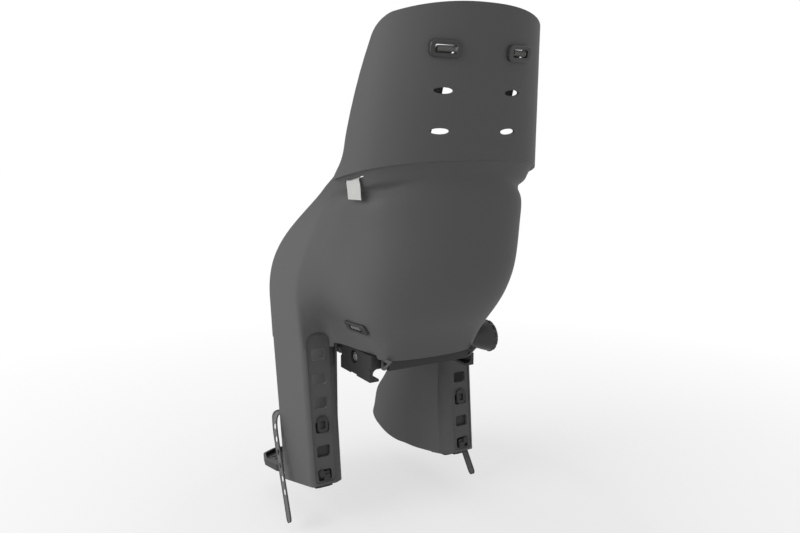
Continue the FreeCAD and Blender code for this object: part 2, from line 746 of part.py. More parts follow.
def carrier_bracket():
    """The plate that rests on the carrier, narrower between the jaws."""
    front = bind(primitive("Box", "bracket_plate", at(0, 0, 0), Length="2 * Sizes.bracket_half_width",
                           Width="Sizes.bracket_length", Height="Sizes.bracket_height"),
                 x="-Sizes.bracket_half_width", y="-Sizes.bracket_length / 2 - 27")
    tools = []
    for side, sign in SIDES.items():
        low = BRACKET_CORE if sign > 0 else -BRACKET_CORE - 40
        tools.append(primitive("Box", "bracket_notch_" + side, at(low, -JAW_ZONE, -1),
                               Length=40.0, Width=2 * JAW_ZONE, Height=40.0))
    for number, y in enumerate((-TONGUE_Y, TONGUE_Y)):
        tunnel = primitive("Box", "tongue_tunnel_%d" % number,
                           at(-100, y - TONGUE_WIDTH / 2 - fit_gap, TONGUE_LOW - fit_gap),
                           Length=200.0, Width=TONGUE_WIDTH + 2 * fit_gap, Height=TONGUE_HEIGHT + 2 * fit_gap)
        tools.append(tunnel)
    bore = primitive("Cylinder", "bracket_bore", at(-100, 0, 0, *ALONG_X),
                     Radius="Sizes.screw_radius + 0.5", Height=200.0)
    tools.append(bind(bore, y="Sizes.screw_back", z="Sizes.screw_height"))
    for number, (x, y) in enumerate(BOSSES):
        tools.append(primitive("Cylinder", "bolt_hole_%d" % number, at(x, y, -1),
                               Radius=BOLT_RADIUS + 0.25, Height=40.0))
        tools.append(primitive("Cylinder", "bolt_seat_%d" % number, at(x, y, -1),
                               Radius=BOLT_RADIUS * 2 + 0.6, Height=1.6 + BOLT_HEAD))
    return cut("carrier_bracket", front, tools)


def hexagon(radius):
    """The corners of a hexagon about the origin, square to Z."""
    turns = [math.radians(60 * i) for i in range(6)]
    return [V(radius * math.cos(turn), radius * math.sin(turn), 0) for turn in turns]


def bracket_bolts():
    """Four pan-head bolts from below, one group of separate solids."""
    solids = []
    for x, y in BOSSES:
        head = Part.makeCylinder(BOLT_RADIUS * 2, BOLT_HEAD, V(x, y, 0.6))
        socket = prism([p + V(x, y, 0.6) for p in hexagon(2.6)], V(0, 0, 2.0))
        shank = Part.makeCylinder(BOLT_RADIUS - 0.4, BOLT_LENGTH, V(x, y, 0.6 + BOLT_HEAD))
        solids.append(head.fuse(shank).cut(socket))
    return add_shape("bracket_bolts", Part.makeCompound(solids))


# The two jaws that hold the carrier tubes from the sides

NUT_RECESS = 11.0
RECESS_DEPTH = 11.0
WASHER_THICK = 1.6
NUT_THICK = 6.5
NUT_RADIUS = 7.5
JAW_GAP = 6.0


def jaw(side):
    """One jaw: block, lip with a half-round seat, two tongues and the screw's recess."""
    sign = SIDES[side]
    tube_x, high = size("tube_spacing") / 2, size("jaw_block_height")
    inner, outer, half = BRACKET_CORE + JAW_GAP, size("jaw_outer"), size("jaw_length") / 2
    body = block(inner, outer, -half, half, 0, high)
    corners = [e for e in body.Edges if e.CenterOfMass.x > outer - 0.1 and abs(e.CenterOfMass.y) > half - 0.1]
    body = body.makeChamfer(3.0, corners)
    lip = block(tube_x - 2.5, outer, -half, half, -size("jaw_lip"), 0)
    tube = Part.makeCylinder(size("tube_radius"), 2 * half + 2, V(tube_x, -half - 1, -size("tube_radius")), BACK)
    mouth = block(tube_x - 10, tube_x, -half - 1, half + 1, -2 * size("tube_radius"), 0)
    foot = -size("jaw_lip")
    relief = block(tube_x - 3, outer + 1, -half + 34, half - 44, foot - 1, foot + 2.0)
    parts = body.fuse(lip).cut([tube, mouth, relief])
    tongues = [rounded_block(inner - size("jaw_tongue"), inner + 4, y - TONGUE_WIDTH / 2, y + TONGUE_WIDTH / 2,
                             TONGUE_LOW, TONGUE_LOW + TONGUE_HEIGHT, 1.0, LEFT)
               for y in (-TONGUE_Y, TONGUE_Y)]
    parts = parts.fuse(tongues)
    axis = V(0, size("screw_back"), size("screw_height"))
    bore = Part.makeCylinder(size("screw_radius") + 0.5, outer, axis, LEFT)
    recess = Part.makeCylinder(NUT_RECESS, outer, axis + LEFT * (outer - RECESS_DEPTH), LEFT)
    pocket = block(inner + 6, outer - 6, -half + 8, -TONGUE_Y - 1, high - 7, high + 1)
    parts = parts.cut([bore, recess, pocket])
    return add_shape("jaw_" + side, parts if sign > 0 else mirrored(parts))


COLLAR_THICK = 3.0


def clamp_screw():
    """The screw along X through both jaws, with its collar against the right jaw."""
    start, end = -(size("knob_centre") - 8.0), size("jaw_outer") - 0.8
    shaft = bind(primitive("Cylinder", "screw_shaft", at(start, 0, 0, *ALONG_X),
                           Radius="Sizes.screw_radius", Height=end - start),
                 y="Sizes.screw_back", z="Sizes.screw_height")
    collar_start = -size("jaw_outer") - fit_gap - COLLAR_THICK
    collar = bind(primitive("Cylinder", "screw_collar", at(collar_start, 0, 0, *ALONG_X),
                            Radius="Sizes.screw_radius + 4", Height=COLLAR_THICK),
                  y="Sizes.screw_back", z="Sizes.screw_height")
    return fuse("clamp_screw", [shaft, collar])


def clamp_nut():
    """A hexagon nut held in the left jaw's recess."""
    seat = size("jaw_outer") - RECESS_DEPTH + WASHER_THICK + 0.05
    y, z = size("screw_back"), size("screw_height")
    nut = prism([V(seat, y + p.x, z + p.y) for p in hexagon(NUT_RADIUS)], V(NUT_THICK, 0, 0))
    bore = Part.makeCylinder(size("screw_radius") + 0.06, 40, V(seat - 5, y, z), LEFT)
    return add_shape("clamp_nut", nut.cut(bore))


def nut_washer():
    """A flat washer under the nut."""
    seat = size("jaw_outer") - RECESS_DEPTH
    axis = V(seat, size("screw_back"), size("screw_height"))
    bore = Part.makeCylinder(size("screw_radius") + 0.4, 9, axis - LEFT, LEFT)
    return add_shape("nut_washer", Part.makeCylinder(9.5, WASHER_THICK, axis, LEFT).cut(bore))


KNOB_DISC = 6.0
KNOB_GRIPS = 12


def clamp_knob():
    """The knob: a flared cone behind a scalloped rim, turned about the screw's axis."""
    body = doc.addObject("PartDesign::Body", "clamp_knob")
    body.Label = "clamp_knob"
    origin = {feature.Role: feature for feature in body.Origin.OriginFeatures}
    sketch = body.newObject("Sketcher::SketchObject", "knob_profile")
    sketch.AttachmentSupport = [(origin["XZ_Plane"], "")]
    sketch.MapMode = "FlatFace"
    start = size("jaw_outer") + COLLAR_THICK + 2 * fit_gap
    rim = size("knob_centre") - KNOB_DISC / 2 - start
    front = rim + KNOB_DISC
    bore, grip = size("screw_radius") + 0.02, size("knob_radius")
    outline = [(bore, 0), (10.0, 0), (11.0, rim * 0.27), (grip * 0.68, rim * 0.65), (grip * 0.84, rim * 0.85),
               (grip - 1.5, rim), (grip, rim + 1.5), (grip, front - 1.5), (grip - 1.5, front), (grip - 6, front),
               (grip - 8, front - 3), (bore, front - 3)]
    for (r1, z1), (r2, z2) in zip(outline, outline[1:] + outline[:1]):
        sketch.addGeometry(Part.LineSegment(V(r1, z1, 0), V(r2, z2, 0)), False)
    turned = body.newObject("PartDesign::Revolution", "knob_turned")
    turned.Profile = sketch
    turned.ReferenceAxis = (sketch, ["V_Axis"])
    turned.Angle = 360.0
    notch = body.newObject("Sketcher::SketchObject", "knob_notch")
    notch.AttachmentSupport = [(origin["XY_Plane"], "")]
    notch.MapMode = "FlatFace"
    notch.addGeometry(Part.Circle(V(grip + 2.2, 0, 0), UP, 4.2), False)
    groove = body.newObject("PartDesign::Pocket", "knob_groove")
    groove.Profile = notch
    groove.Reversed = True
    groove.Length = front + 10.0
    doc.recompute()
    pattern = body.newObject("PartDesign::PolarPattern", "knob_grips")
    pattern.Originals = [groove]
    pattern.Axis = (origin["Z_Axis"], [""])
    pattern.Angle = 360.0
    pattern.Occurrences = KNOB_GRIPS
    body.Tip = pattern
    body.Placement = at(-start, size("screw_back"), size("screw_height"), BACK, -90.0)
    return body


def adapter_lug():
    """A light metal lug on the bracket's side, in front of the left jaw."""
    start, end = size("bracket_half_width"), size("guard_gap_half") - 2.0
    plate = rounded_block(start, end, -73, -55, 2.0, 12.0, 2.0, BACK)
    hole = Part.makeCylinder(2.6, 30, V(end - 10, -64, -5), UP)
    return add_shape("adapter_lug", plate.cut(hole))


carrier_bracket()
bracket_bolts()
for side in SIDES:
    jaw(side)
clamp_screw()
clamp_nut()
nut_washer()
clamp_knob()
adapter_lug()


# Footrests: a back plate with two hooks in the rail's slots and a toe plate

HOOK_PLATE_Y = -7.1
HOOK_PLATE_THICK = 4.0
HOOK_SLOT, CATCH_SLOT = 2, 0
SOLE_HEEL, SOLE_LOW = -14.0, -6.0
RIM_HEIGHT = 7.0
RIM_START = -98.0


def foot_hooks():
    """The footrest's back plate with the hook and the catch in the rail's slots, drawn on the rail."""
    centre, face = size("rail_centre"), -size("rail_recess")
    upper, lower = slot_place(HOOK_SLOT), slot_place(CATCH_SLOT)
    front, inside = HOOK_PLATE_Y - HOOK_PLATE_THICK, HOOK_PLATE_Y - 1
    back = rounded_block(centre - 15, centre + 15, front, HOOK_PLATE_Y, SOLE_LOW, upper + 14, 6.0, BACK)
    neck = rounded_block(centre - 7, centre + 7, inside, face + 0.4, upper - 3, upper + 8, 2.0, BACK)
    tongue = rounded_block(centre - 9, centre + 9, face + 0.1, face + 3.4, upper - 8, upper + 18, 6.0, BACK)
    tongue = tongue.cut(rounded_block(centre - 4, centre + 4, face - 1, face + 5, upper - 2, upper + 10, 2.0, BACK))
    latch = rounded_block(centre - 8, centre + 8, inside, face + 0.4, lower - 4, lower + 6, 2.0, BACK)
    bar = rounded_block(centre - 8, centre + 3, face + 0.1, face + 2.6, lower - 9, lower + 1, 2.0, BACK)
    button = Part.makeCylinder(5.5, 3.2, V(centre + 6, face + 0.1, lower + 4), BACK)
    return back.fuse([neck, tongue, latch, bar, button])


def foot_plate():
    """The footrest's sole with its rim, treads, ribs and the cleat of the strap, drawn on the rail."""
    thick, low, heel = size("foot_plate_thick"), SOLE_LOW, SOLE_HEEL
    toe = heel - size("foot_plate_length")
    gap = size("guard_gap_half") + wall + 1.5
    inner, high = gap + 1, low + thick
    side = size("guard_gap_half") + 55
    points = [V(inner, heel, low), V(side, heel, low), V(side + 0.5, -109, low), V(side + 16, -134, low),
              V(side + 20, toe + 34, low), V(side + 11, toe + 2, low), V(side - 25, toe - 22, low),
              V(inner, toe - 2, low)]
    sole = Part.Face(rounded_wire(points, (6, 6, 18, 10, 14, 16, 22, 12)))
    rim = sole.extrude(V(0, 0, thick + RIM_HEIGHT))
    rim = rim.cut(sole.makeOffset2D(-4.0).extrude(V(0, 0, thick + RIM_HEIGHT + 1)))
    rim = rim.cut(block(inner - 5, 200, RIM_START, 0, high, high + RIM_HEIGHT + 1))
    cleat = block(inner, inner + 4, RIM_START - 22, RIM_START + 6, high - 1, high + 16)
    ribs = [prism([V(x, heel - 2, high - 1), V(x, heel - 62, high - 1), V(x, heel + 3, high + 52)], V(3, 0, 0))
            for x in (size("rail_centre") - 14, size("rail_centre") + 11)]
    web = block(size("rail_centre") - 15, size("rail_centre") + 15, heel - 5, HOOK_PLATE_Y - 1, low, low + 24)
    tread = [rounded_block(inner + 7, side - 3, y, y + 3.0, high - 0.8, high + 1.2, 0.7, LEFT)
             for y in range(int(toe) + 12, -36, 14)]
    return sole.extrude(V(0, 0, thick)).fuse([rim, cleat, web] + ribs + tread)


def footrest(side):
    """The left footrest, or its mirror image."""
    whole = in_rail(foot_hooks().fuse(foot_plate()))
    return add_shape("footrest_" + side, whole if SIDES[side] > 0 else mirrored(whole))


# Ribbons: straps of constant width and thickness along a smooth route

def ribbon(route, width, thick, across):
    """A strap whose route, control points of a smooth line, runs down the middle of its section."""
    count = len(route)
    front, back = [], []
    for i, point in enumerate(route):
        along = (route[min(i + 1, count - 1)] - route[max(i - 1, 0)]).normalize()
        side = across[i] if isinstance(across, list) else across
        side = (side - along * side.dot(along)).normalize()
        normal = along.cross(side).normalize() * (thick / 2)
        places = [point + side * (width * share) for share in (-0.5, -1 / 6, 1 / 6, 0.5)]
        front.append([p + normal for p in places])
        back.append([p - normal for p in places])
    return sheet_solid(net_surface(front), net_surface(back))


# The strap's route: distance outside the wheel-side wall, place along the bicycle, height over the foot
STRAP_ROUTE = [(12.0, -130.0, -8.0), (12.0, -136.0, 12.0), (13.0, -146.0, 38.0), (21.0, -156.0, 62.0),
               (36.0, -163.0, 78.0), (55.0, -167.0, 87.0), (67.0, -163.0, 88.0), (74.0, -157.0, 83.0),
               (78.0, -148.0, 70.0), (79.5, -138.0, 52.0), (81.0, -124.0, 25.0), (82.5, -108.0, -5.0),
               (84.5, -89.0, -37.0)]
STRAP_ACROSS = [BACK] * 5 + [V(0.1, 1, 0)] * 3 + [V(0, 1, 0.2), V(0, 1, 0.3)] + [V(0, 1, 0.4)] * 4


def foot_strap(side):
    """The left foot strap over the toes, with its tail hanging outside the guard."""
    gap, foot = size("guard_gap_half"), -size("guard_bottom")
    route = [V(gap + x, y, foot + rise) for x, y, rise in STRAP_ROUTE]
    route.append(V(gap + 87.0, -69.0, -size("foot_strap_tail")))
    strap = ribbon(route, size("foot_strap_width"), size("foot_strap_thick"), STRAP_ACROSS)
    return add_shape("foot_strap_" + side, strap if SIDES[side] > 0 else mirrored(strap))


for side in SIDES:
    footrest(side)
    foot_strap(side)


# Belt retainers on the outside of the shell

def frame_piece(width, height, thick, window_width, window_height):
    """A rounded frame about the origin with Y outwards, with its recessed window and bar."""
    frame = rounded_block(-width / 2, width / 2, -3.0, thick, -height / 2, height / 2, height * 0.36, BACK)
    frame = frame.makeChamfer(1.2, [e for e in frame.Edges if e.CenterOfMass.y > thick - 0.01])
    half_width, half_height = window_width / 2, window_height / 2
    window = rounded_block(-half_width, half_width, -9, thick + 2, -half_height, half_height, 2.0, BACK)
    return frame.cut(window)


RETAINER_WINDOW_WIDTH, RETAINER_WINDOW_HEIGHT = 31.0, 10.5


def shoulder_retainer(side):
    """The frame over a top belt opening, shaped to the curved shell behind it."""
    x = SIDES[side] * (size("belt_hole_spacing") / 2 + 3.0)
    height = size("belt_row_low") + 2 * size("belt_row_pitch")
    frame = frame_piece(size("retainer_width"), size("retainer_height"), size("retainer_thick"),
                        RETAINER_WINDOW_WIDTH, RETAINER_WINDOW_HEIGHT)
    trimmed = on_back(frame, x, height).cut(shell_shape)
    return add_shape("shoulder_retainer_" + side, max(trimmed.Solids, key=lambda solid: solid.Volume))


def lap_retainer(side):
    """The low plate over a lap belt opening in the bucket's side."""
    plate = rounded_block(-27, 27, -3.0, 3.2, -9, 9, 5.0, BACK)
    plate = plate.makeChamfer(1.0, [e for e in plate.Edges if e.CenterOfMass.y > 3.19])
    plate = plate.cut(rounded_block(-15.5, 15.5, -9, 9, -4.4, 4.4, 2.0, BACK))
    trimmed = on_side(plate).cut(shell_shape)
    piece = max(trimmed.Solids, key=lambda solid: solid.Volume)
    return add_shape("lap_retainer_" + side, piece if SIDES[side] > 0 else mirrored(piece))


for side in SIDES:
    shoulder_retainer(side)
    lap_retainer(side)


# Harness in front of the back

BUCKLE_Y, BUCKLE_Z = 97.0, 170.0
BUCKLE_HALF_WIDTH, BUCKLE_HALF_DEPTH = 24.0, 7.0
BUTTON_RADIUS = 9.2
TONGUE_HALF_THICK = 2.6
STRAP_FRONT = BUCKLE_Y - TONGUE_HALF_THICK - size("webbing_thick") / 2 - fit_gap
STRAP_REAR = BUCKLE_Y + TONGUE_HALF_THICK + size("webbing_thick") / 2 + fit_gap
STRAP_X = size("belt_hole_spacing") / 2 + 3.0
STRAP_TOP = size("belt_row_low") + 2 * size("belt_row_pitch")


PATCH_COUNT = 6


def shoulder_route():
    """Control points of the left shoulder strap, from the retainer down to the tongue."""
    x, z = STRAP_X, STRAP_TOP
    y = head_back(z) - head_drop(x, z) - 1.4
    return [V(x, y + 1.6, z + 4.4), V(x, y + 1.6, z + 1.5), V(x, y + 1.3, z - 1.0), V(x, y - 0.8, z - 2.4),
            V(x, y - 4, z - 2.6), V(x, y - 8, z - 3.4), V(x, y - 13, z - 14), V(x, y - 18, z - 30),
            V(x, 168, 410), V(x * 0.99, 152, 380), V(x * 0.96, 128, 345), V(x * 0.86, 112, 310),
            V(x * 0.66, 104, 270), V(x * 0.42, 98, 238), V(20, STRAP_FRONT, 222),
            V(18, STRAP_FRONT, BUCKLE_Z + 44), V(17.5, STRAP_FRONT, BUCKLE_Z + 38),
            V(17.5, STRAP_FRONT, BUCKLE_Z + 33)]


def shoulder_ribbon(width, thick):
    """The left shoulder strap's band with a given width and thickness, lying with the back at its top."""
    turn = math.radians(back_turn(STRAP_X, STRAP_TOP))
    across = [V(math.cos(turn), -math.sin(turn), 0)] * PATCH_COUNT
    across += [V(math.cos(turn * share), -math.sin(turn * share), 0) for share in (0.7, 0.4, 0.15)]
    across += [LEFT] * (len(shoulder_route()) - len(across))
    return ribbon(shoulder_route(), width, thick, across)


def both_sides(name, piece):
    """A piece drawn for the child's left, and its mirror image."""
    add_shape(name + "_left", piece)
    add_shape(name + "_right", mirrored(piece))


def harness_pad():
    """The soft sleeve round the left shoulder strap."""
    x = STRAP_X
    route = [V(x * 0.57, 102.5, 257), V(x * 0.72, 106, 281), V(x * 0.86, 112, 310),
             V(x * 0.945, 122, 335), V(x * 0.965, 133, 352)]
    sleeve = ribbon(route, size("webbing_width") + 16.0, 10.0, LEFT)
    return sleeve.cut(shoulder_ribbon(size("webbing_width") + 2.0, size("webbing_thick") + 1.4))


def strap_adjuster():
    """The slider on the left shoulder strap, between the pad and the tongue."""
    route = shoulder_route()[12:15]
    along = (route[2] - route[0]).normalize()
    middle = (route[0] + route[1] * 4 + route[2]) * (1 / 6)
    half_thick = 4.5
    slider = rounded_block(-17, 17, -half_thick, half_thick, -9, 9, 4.0, BACK)
    rims = [e for e in slider.Edges if abs(abs(e.CenterOfMass.y) - half_thick) < 0.01]
    slider = slider.makeChamfer(1.0, rims)
    across = (LEFT - along * along.x).normalize()
    turn = FreeCAD.Rotation(across, along.cross(across), along, "ZXY")
    slider.Placement = FreeCAD.Placement(middle, turn)
    return slider.cut(shoulder_ribbon(size("webbing_width") + 1.2, size("webbing_thick") + 0.5))


def lap_strap():
    """Left lap webbing, from the side opening up past the cushion to the tongue."""
    slot_run = lap_turn.multVec(LEFT)
    route = [lap_point + lap_normal * 2.0, lap_point, lap_point - lap_normal * 4.0, lap_point - lap_normal * 9.0,
             V(91, 20, 80), V(87, 16, 94), V(80, 24, 112), V(68, 52, 140), V(56, 80, 168), V(46, 96, 188),
             V(38, STRAP_REAR, BUCKLE_Z + 29), V(33, STRAP_REAR, BUCKLE_Z + 32), V(27.5, STRAP_REAR, BUCKLE_Z + 33)]
    across = [slot_run] * 5 + [V(-0.5, 0.9, 0), V(-0.6, 0.8, 0.1), V(-0.7, 0.4, 0.4), V(-0.7, 0.2, 0.5),
                               V(-0.6, 0, 0.7), V(-0.4, 0, 0.9), V(-0.2, 0, 1), V(0, 0, 1)]
    if slot_run.y < 0:
        across[:5] = [slot_run * -1] * 5
    return ribbon(route, size("webbing_width"), size("webbing_thick"), across)


def buckle_tongue():
    """The left tongue: a plate in the buckle's mouth with a bar for the webbing."""
    plate = block(0.6, 18.6, BUCKLE_Y - 1.6, BUCKLE_Y + 1.6, BUCKLE_Z + 7, BUCKLE_Z + 24)
    front, rear = BUCKLE_Y - TONGUE_HALF_THICK, BUCKLE_Y + TONGUE_HALF_THICK
    head = rounded_block(0.6, 33, front, rear, BUCKLE_Z + 23, BUCKLE_Z + 41, 4.0, BACK)
    window = rounded_block(3.6, 30.4, BUCKLE_Y - 5, BUCKLE_Y + 5, BUCKLE_Z + 29, BUCKLE_Z + 36, 2.0, BACK)
    return plate.fuse(head).cut(window)


def buckle_body():
    """The housing of the harness buckle, with the pocket of its release button."""
    half = BUCKLE_HALF_WIDTH
    front, rear = BUCKLE_Y - BUCKLE_HALF_DEPTH, BUCKLE_Y + BUCKLE_HALF_DEPTH
    housing = rounded_block(-half, half, front, rear, BUCKLE_Z - 30, BUCKLE_Z + 22, 8.0, BACK)
    rims = [e for e in housing.Edges if abs(abs(e.CenterOfMass.y - BUCKLE_Y) - BUCKLE_HALF_DEPTH) < 0.01]
    housing = housing.makeChamfer(2.0, rims)
    pocket = Part.makeCylinder(BUTTON_RADIUS + 0.3, 5.0, V(0, front - 1, BUCKLE_Z - 6), BACK)
    mouth = block(-20, 20, BUCKLE_Y - 2, BUCKLE_Y + 2, BUCKLE_Z + 6, BUCKLE_Z + 30)
    slot = block(-14, 14, BUCKLE_Y - 1.2, BUCKLE_Y + 1.2, BUCKLE_Z - 40, BUCKLE_Z - 22)
    return housing.cut([pocket, mouth, slot])


def release_button():
    """The round button in the middle of the buckle."""
    front = BUCKLE_Y - BUCKLE_HALF_DEPTH - 2.0
    button = Part.makeCylinder(BUTTON_RADIUS, 4.0, V(0, front, BUCKLE_Z - 6), BACK)
    return button.makeChamfer(1.0, [e for e in button.Edges if e.CenterOfMass.y < front + 0.1])


def crotch_strap():
    """Webbing from the seat pan up to the buckle."""
    y, pan = CROTCH_BACK, size("pan_height")
    route = [V(0, y, pan - 8), V(0, y, pan), V(0, y, pan + 10), V(0, y + 1, pan + 24), V(0, y + 12, pan + 42),
             V(0, y + 48, pan + 56), V(0, y + 96, pan + 62), V(0, y + 126, pan + 62), V(0, BUCKLE_Y - 7, pan + 65),
             V(0, BUCKLE_Y, BUCKLE_Z - 38), V(0, BUCKLE_Y, BUCKLE_Z - 33), V(0, BUCKLE_Y, BUCKLE_Z - 28),
             V(0, BUCKLE_Y, BUCKLE_Z - 23)]
    return ribbon(route, size("webbing_width"), size("webbing_thick"), LEFT)


def crotch_anchor():
    """The bar under the seat pan that holds the crotch strap's end."""
    low = size("pan_height") - wall - 6.0
    plate = rounded_block(-19, 19, CROTCH_BACK - 6, CROTCH_BACK + 6, low, low + 6.0, 3.0, UP)
    return plate.cut(block(-13, 13, CROTCH_BACK - 1.0, CROTCH_BACK + 1.0, low + 1.5, low + 9))


both_sides("shoulder_strap", shoulder_ribbon(size("webbing_width"), size("webbing_thick")))
both_sides("harness_pad", harness_pad())
both_sides("strap_adjuster", strap_adjuster())
both_sides("lap_strap", lap_strap())
both_sides("buckle_tongue", buckle_tongue())
add_shape("buckle_body", buckle_body())
add_shape("release_button", release_button())
add_shape("crotch_strap", crotch_strap())
add_shape("crotch_anchor", crotch_anchor())


# Cushions and the tag

SOFT_GAP = 0.5


def back_cushion():
    """The pad in front of the back, following the shell's skin and standing straight above it."""
    thick = size("cushion_thick")
    columns = [0.335 + 0.33 * i / 6 for i in range(7)]
    heights = (92.0, 126.0, 166.0, 208.0, 250.0, 276.0, 290.0)
    nets = []
    for inset in (wall + SOFT_GAP, wall + SOFT_GAP + thick):
        rows = [[skin_point(height, column, inset) for column in columns] for height in heights]
        for rise, setback in ((10.0, 0.0), (18.0, 1.5), (26.0, 3.0)):
            rows.append([p + V(0, setback, rise) for p in rows[len(heights) - 1]])
        nets.append(rows)
    return sheet_solid(net_surface(nets[0]), net_surface(nets[1]))


def seat_cushion():
    """The pad on the pan, with the slot for the crotch strap."""
    low = size("pan_height") + 0.4
    high = low + size("seat_cushion_thick")
    points = [V(-92, -150, low), V(92, -150, low), V(92, -52, low), V(84, 12, low), V(74, 48, low),
              V(48, 66, low), V(-48, 66, low), V(-74, 48, low), V(-84, 12, low), V(-92, -52, low)]
    outline = rounded_wire(points, (20, 20, 30, 30, 20, 30, 30, 20, 30, 30))
    pad = Part.Face(outline).extrude(V(0, 0, high - low))
    pad = pad.makeChamfer(6.0, [e for e in pad.Edges if e.CenterOfMass.z > high - 0.1])
    slot = rounded_block(-17, 17, CROTCH_BACK - 5, CROTCH_BACK + 9, low - 1, high + 1, 3.0, UP)
    return pad.cut(slot)


TAG_WIDTH, TAG_LENGTH, TAG_THICK = 22.0, 26.0, 0.8
TAG_STANDOFF = 3.8


def side_tag():
    """The blank cloth tag that hangs from the slit in the left wing."""
    half, thick = TAG_WIDTH / 2, TAG_THICK / 2
    root = block(-half, half, -5.0, TAG_STANDOFF, -thick, thick)
    fall = block(-half, half, TAG_STANDOFF - TAG_THICK, TAG_STANDOFF, -TAG_LENGTH, thick)
    return at_slit(root.fuse(fall).removeSplitter())


add_shape("back_cushion", back_cushion())
add_shape("seat_cushion", seat_cushion())
add_shape("side_tag", side_tag())


# Checks and export

doc.recompute()
os.makedirs("parts", exist_ok=True)
pieces = [item for item in doc.Objects if item.isDerivedFrom("Part::Feature") and not item.InList]
for item in doc.Objects:
    if "Invalid" in item.State or "Error" in item.State:
        raise RuntimeError("%s could not be computed: %s" % (item.Label, item.State))
for item in pieces:
    if item.Shape.isNull() or not item.Shape.isValid():
        raise RuntimeError("%s has no valid shape" % item.Label)
    item.Shape.exportStep(os.path.join("parts", item.Label + ".step"))
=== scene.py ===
"""Looks of a rear child bike seat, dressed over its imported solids.

Metres.  +X is the child's left, +Y the rear of the bicycle, +Z up; the origin is the centre of the
carrier bracket's underside.
"""

from __future__ import annotations

import logging
import math
from dataclasses import dataclass
from enum import Enum
from typing import Any, Sequence
import bmesh
import bpy
import numpy as np
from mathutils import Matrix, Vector
from mathutils.bvhtree import BVHTree


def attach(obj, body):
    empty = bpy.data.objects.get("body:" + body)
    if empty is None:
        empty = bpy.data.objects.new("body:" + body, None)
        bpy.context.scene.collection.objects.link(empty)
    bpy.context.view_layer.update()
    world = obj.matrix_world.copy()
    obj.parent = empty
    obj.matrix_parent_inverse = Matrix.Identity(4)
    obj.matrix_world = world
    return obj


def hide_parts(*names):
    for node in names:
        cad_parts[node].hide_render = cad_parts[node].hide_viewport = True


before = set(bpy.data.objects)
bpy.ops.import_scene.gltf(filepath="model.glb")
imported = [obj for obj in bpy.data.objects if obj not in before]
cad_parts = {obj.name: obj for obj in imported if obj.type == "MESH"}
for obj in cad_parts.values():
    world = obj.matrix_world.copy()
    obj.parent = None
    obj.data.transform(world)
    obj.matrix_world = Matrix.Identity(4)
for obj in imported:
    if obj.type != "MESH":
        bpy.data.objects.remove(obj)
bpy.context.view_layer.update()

LOG = logging.getLogger("seat")
MM = 0.001
FINE_STEPS = 1500  # steps in which the length of a line is measured

Array = np.ndarray
Colour = tuple[float, float, float]
Place = tuple[float, float, float]

WHITE: Colour = (1.0, 1.0, 1.0)


# Splines and surfaces


def cubic_weights(count: int, t: Array) -> Array:
    """Weights of the control points of a clamped cubic spline with even inner knots.

    Cox and de Boor's recurrence: each degree blends two neighbours of the degree below.

    Args:
        count: How many control points there are.
        t: Parameters from 0 to 1.

    Returns:
        One row of weights per parameter.
    """
    k = np.concatenate([np.zeros(3), np.linspace(0.0, 1.0, count - 2), np.ones(3)])
    t = np.clip(np.asarray(t, float), 0.0, 1.0 - 1e-9)[:, None]
    weights = ((k[None, :-1] <= t) & (t < k[None, 1:])).astype(float)
    for degree in (1, 2, 3):
        span = k[degree:] - k[:-degree]
        safe = np.where(span > 0, span, 1.0)
        rise = np.where(span[:-1] > 0, (t - k[None, : -degree - 1]) / safe[:-1], 0.0)
        fall = np.where(span[1:] > 0, (k[None, degree + 1 :] - t) / safe[1:], 0.0)
        weights = rise * weights[:, :-1] + fall * weights[:, 1:]
    return weights


def unit(vectors: Array) -> Array:
    """Vectors of length one."""
    return vectors / np.maximum(np.linalg.norm(vectors, axis=-1, keepdims=True), 1e-12)


@dataclass(frozen=True)
class SmoothLine:
    """A clamped cubic line over control points, in metres.

    Attributes:
        points: The control points, one per row.
    """

    points: Array

    def at(self, t: Array) -> Array:
        """Points of the line at the parameters."""
        return cubic_weights(len(self.points), t) @ self.points

def distances(path: Array) -> Array:
    """Distance run along a path up to each of its points: the running sum of its steps."""
    steps = np.linalg.norm(np.diff(path, axis=0), axis=1)
    return np.concatenate([[0.0], np.cumsum(steps)])


def read_off(where: Array, run: Array, values: Array) -> Array:
    """Values along a path at given distances, straight between the path's points.

    Args:
        where: The distances to read at.
        run: The distance of each of the path's points.
        values: One row per point of the path.

    Returns:
        One row per distance.
    """
    return np.stack([np.interp(where, run, column) for column in values.T], axis=1)


def eased(ring: Array, rounds: int) -> Array:
    """A closed row of values, each moved half way to the mean of its two neighbours, a few times.

    Args:
        ring: The values.
        rounds: How many times.

    Returns:
        The values, moved.
    """
    for _ in range(rounds):
        ring = (np.roll(ring, 1, axis=0) + 2 * ring + np.roll(ring, -1, axis=0)) / 4
    return ring


# Meshes


def linked(name: str, data: bpy.types.ID) -> bpy.types.Object:
    """An object that holds the data, linked to the scene.

    Args:
        name: The object's name.
        data: Its mesh, camera or lamp.

    Returns:
        The object.
    """
    made = bpy.data.objects.new(name, data)
    bpy.context.scene.collection.objects.link(made)
    return made


def new_piece(
    name: str, points: Array, faces: Sequence[Sequence[int]], smooth: bool = True
) -> bpy.types.Object:
    """A mesh object at the origin.

    Args:
        name: The piece's name.
        points: Its vertices in metres.
        faces: Its faces.
        smooth: Whether its faces are shaded smooth.

    Returns:
        The object, linked to the scene.
    """
    mesh = bpy.data.meshes.new(name)
    corners = [list(map(int, face)) for face in faces]
    mesh.from_pydata(np.asarray(points).reshape(-1, 3).tolist(), [], corners)
    mesh.polygons.foreach_set("use_smooth", np.full(len(mesh.polygons), smooth))
    mesh.update()
    return linked(name, mesh)


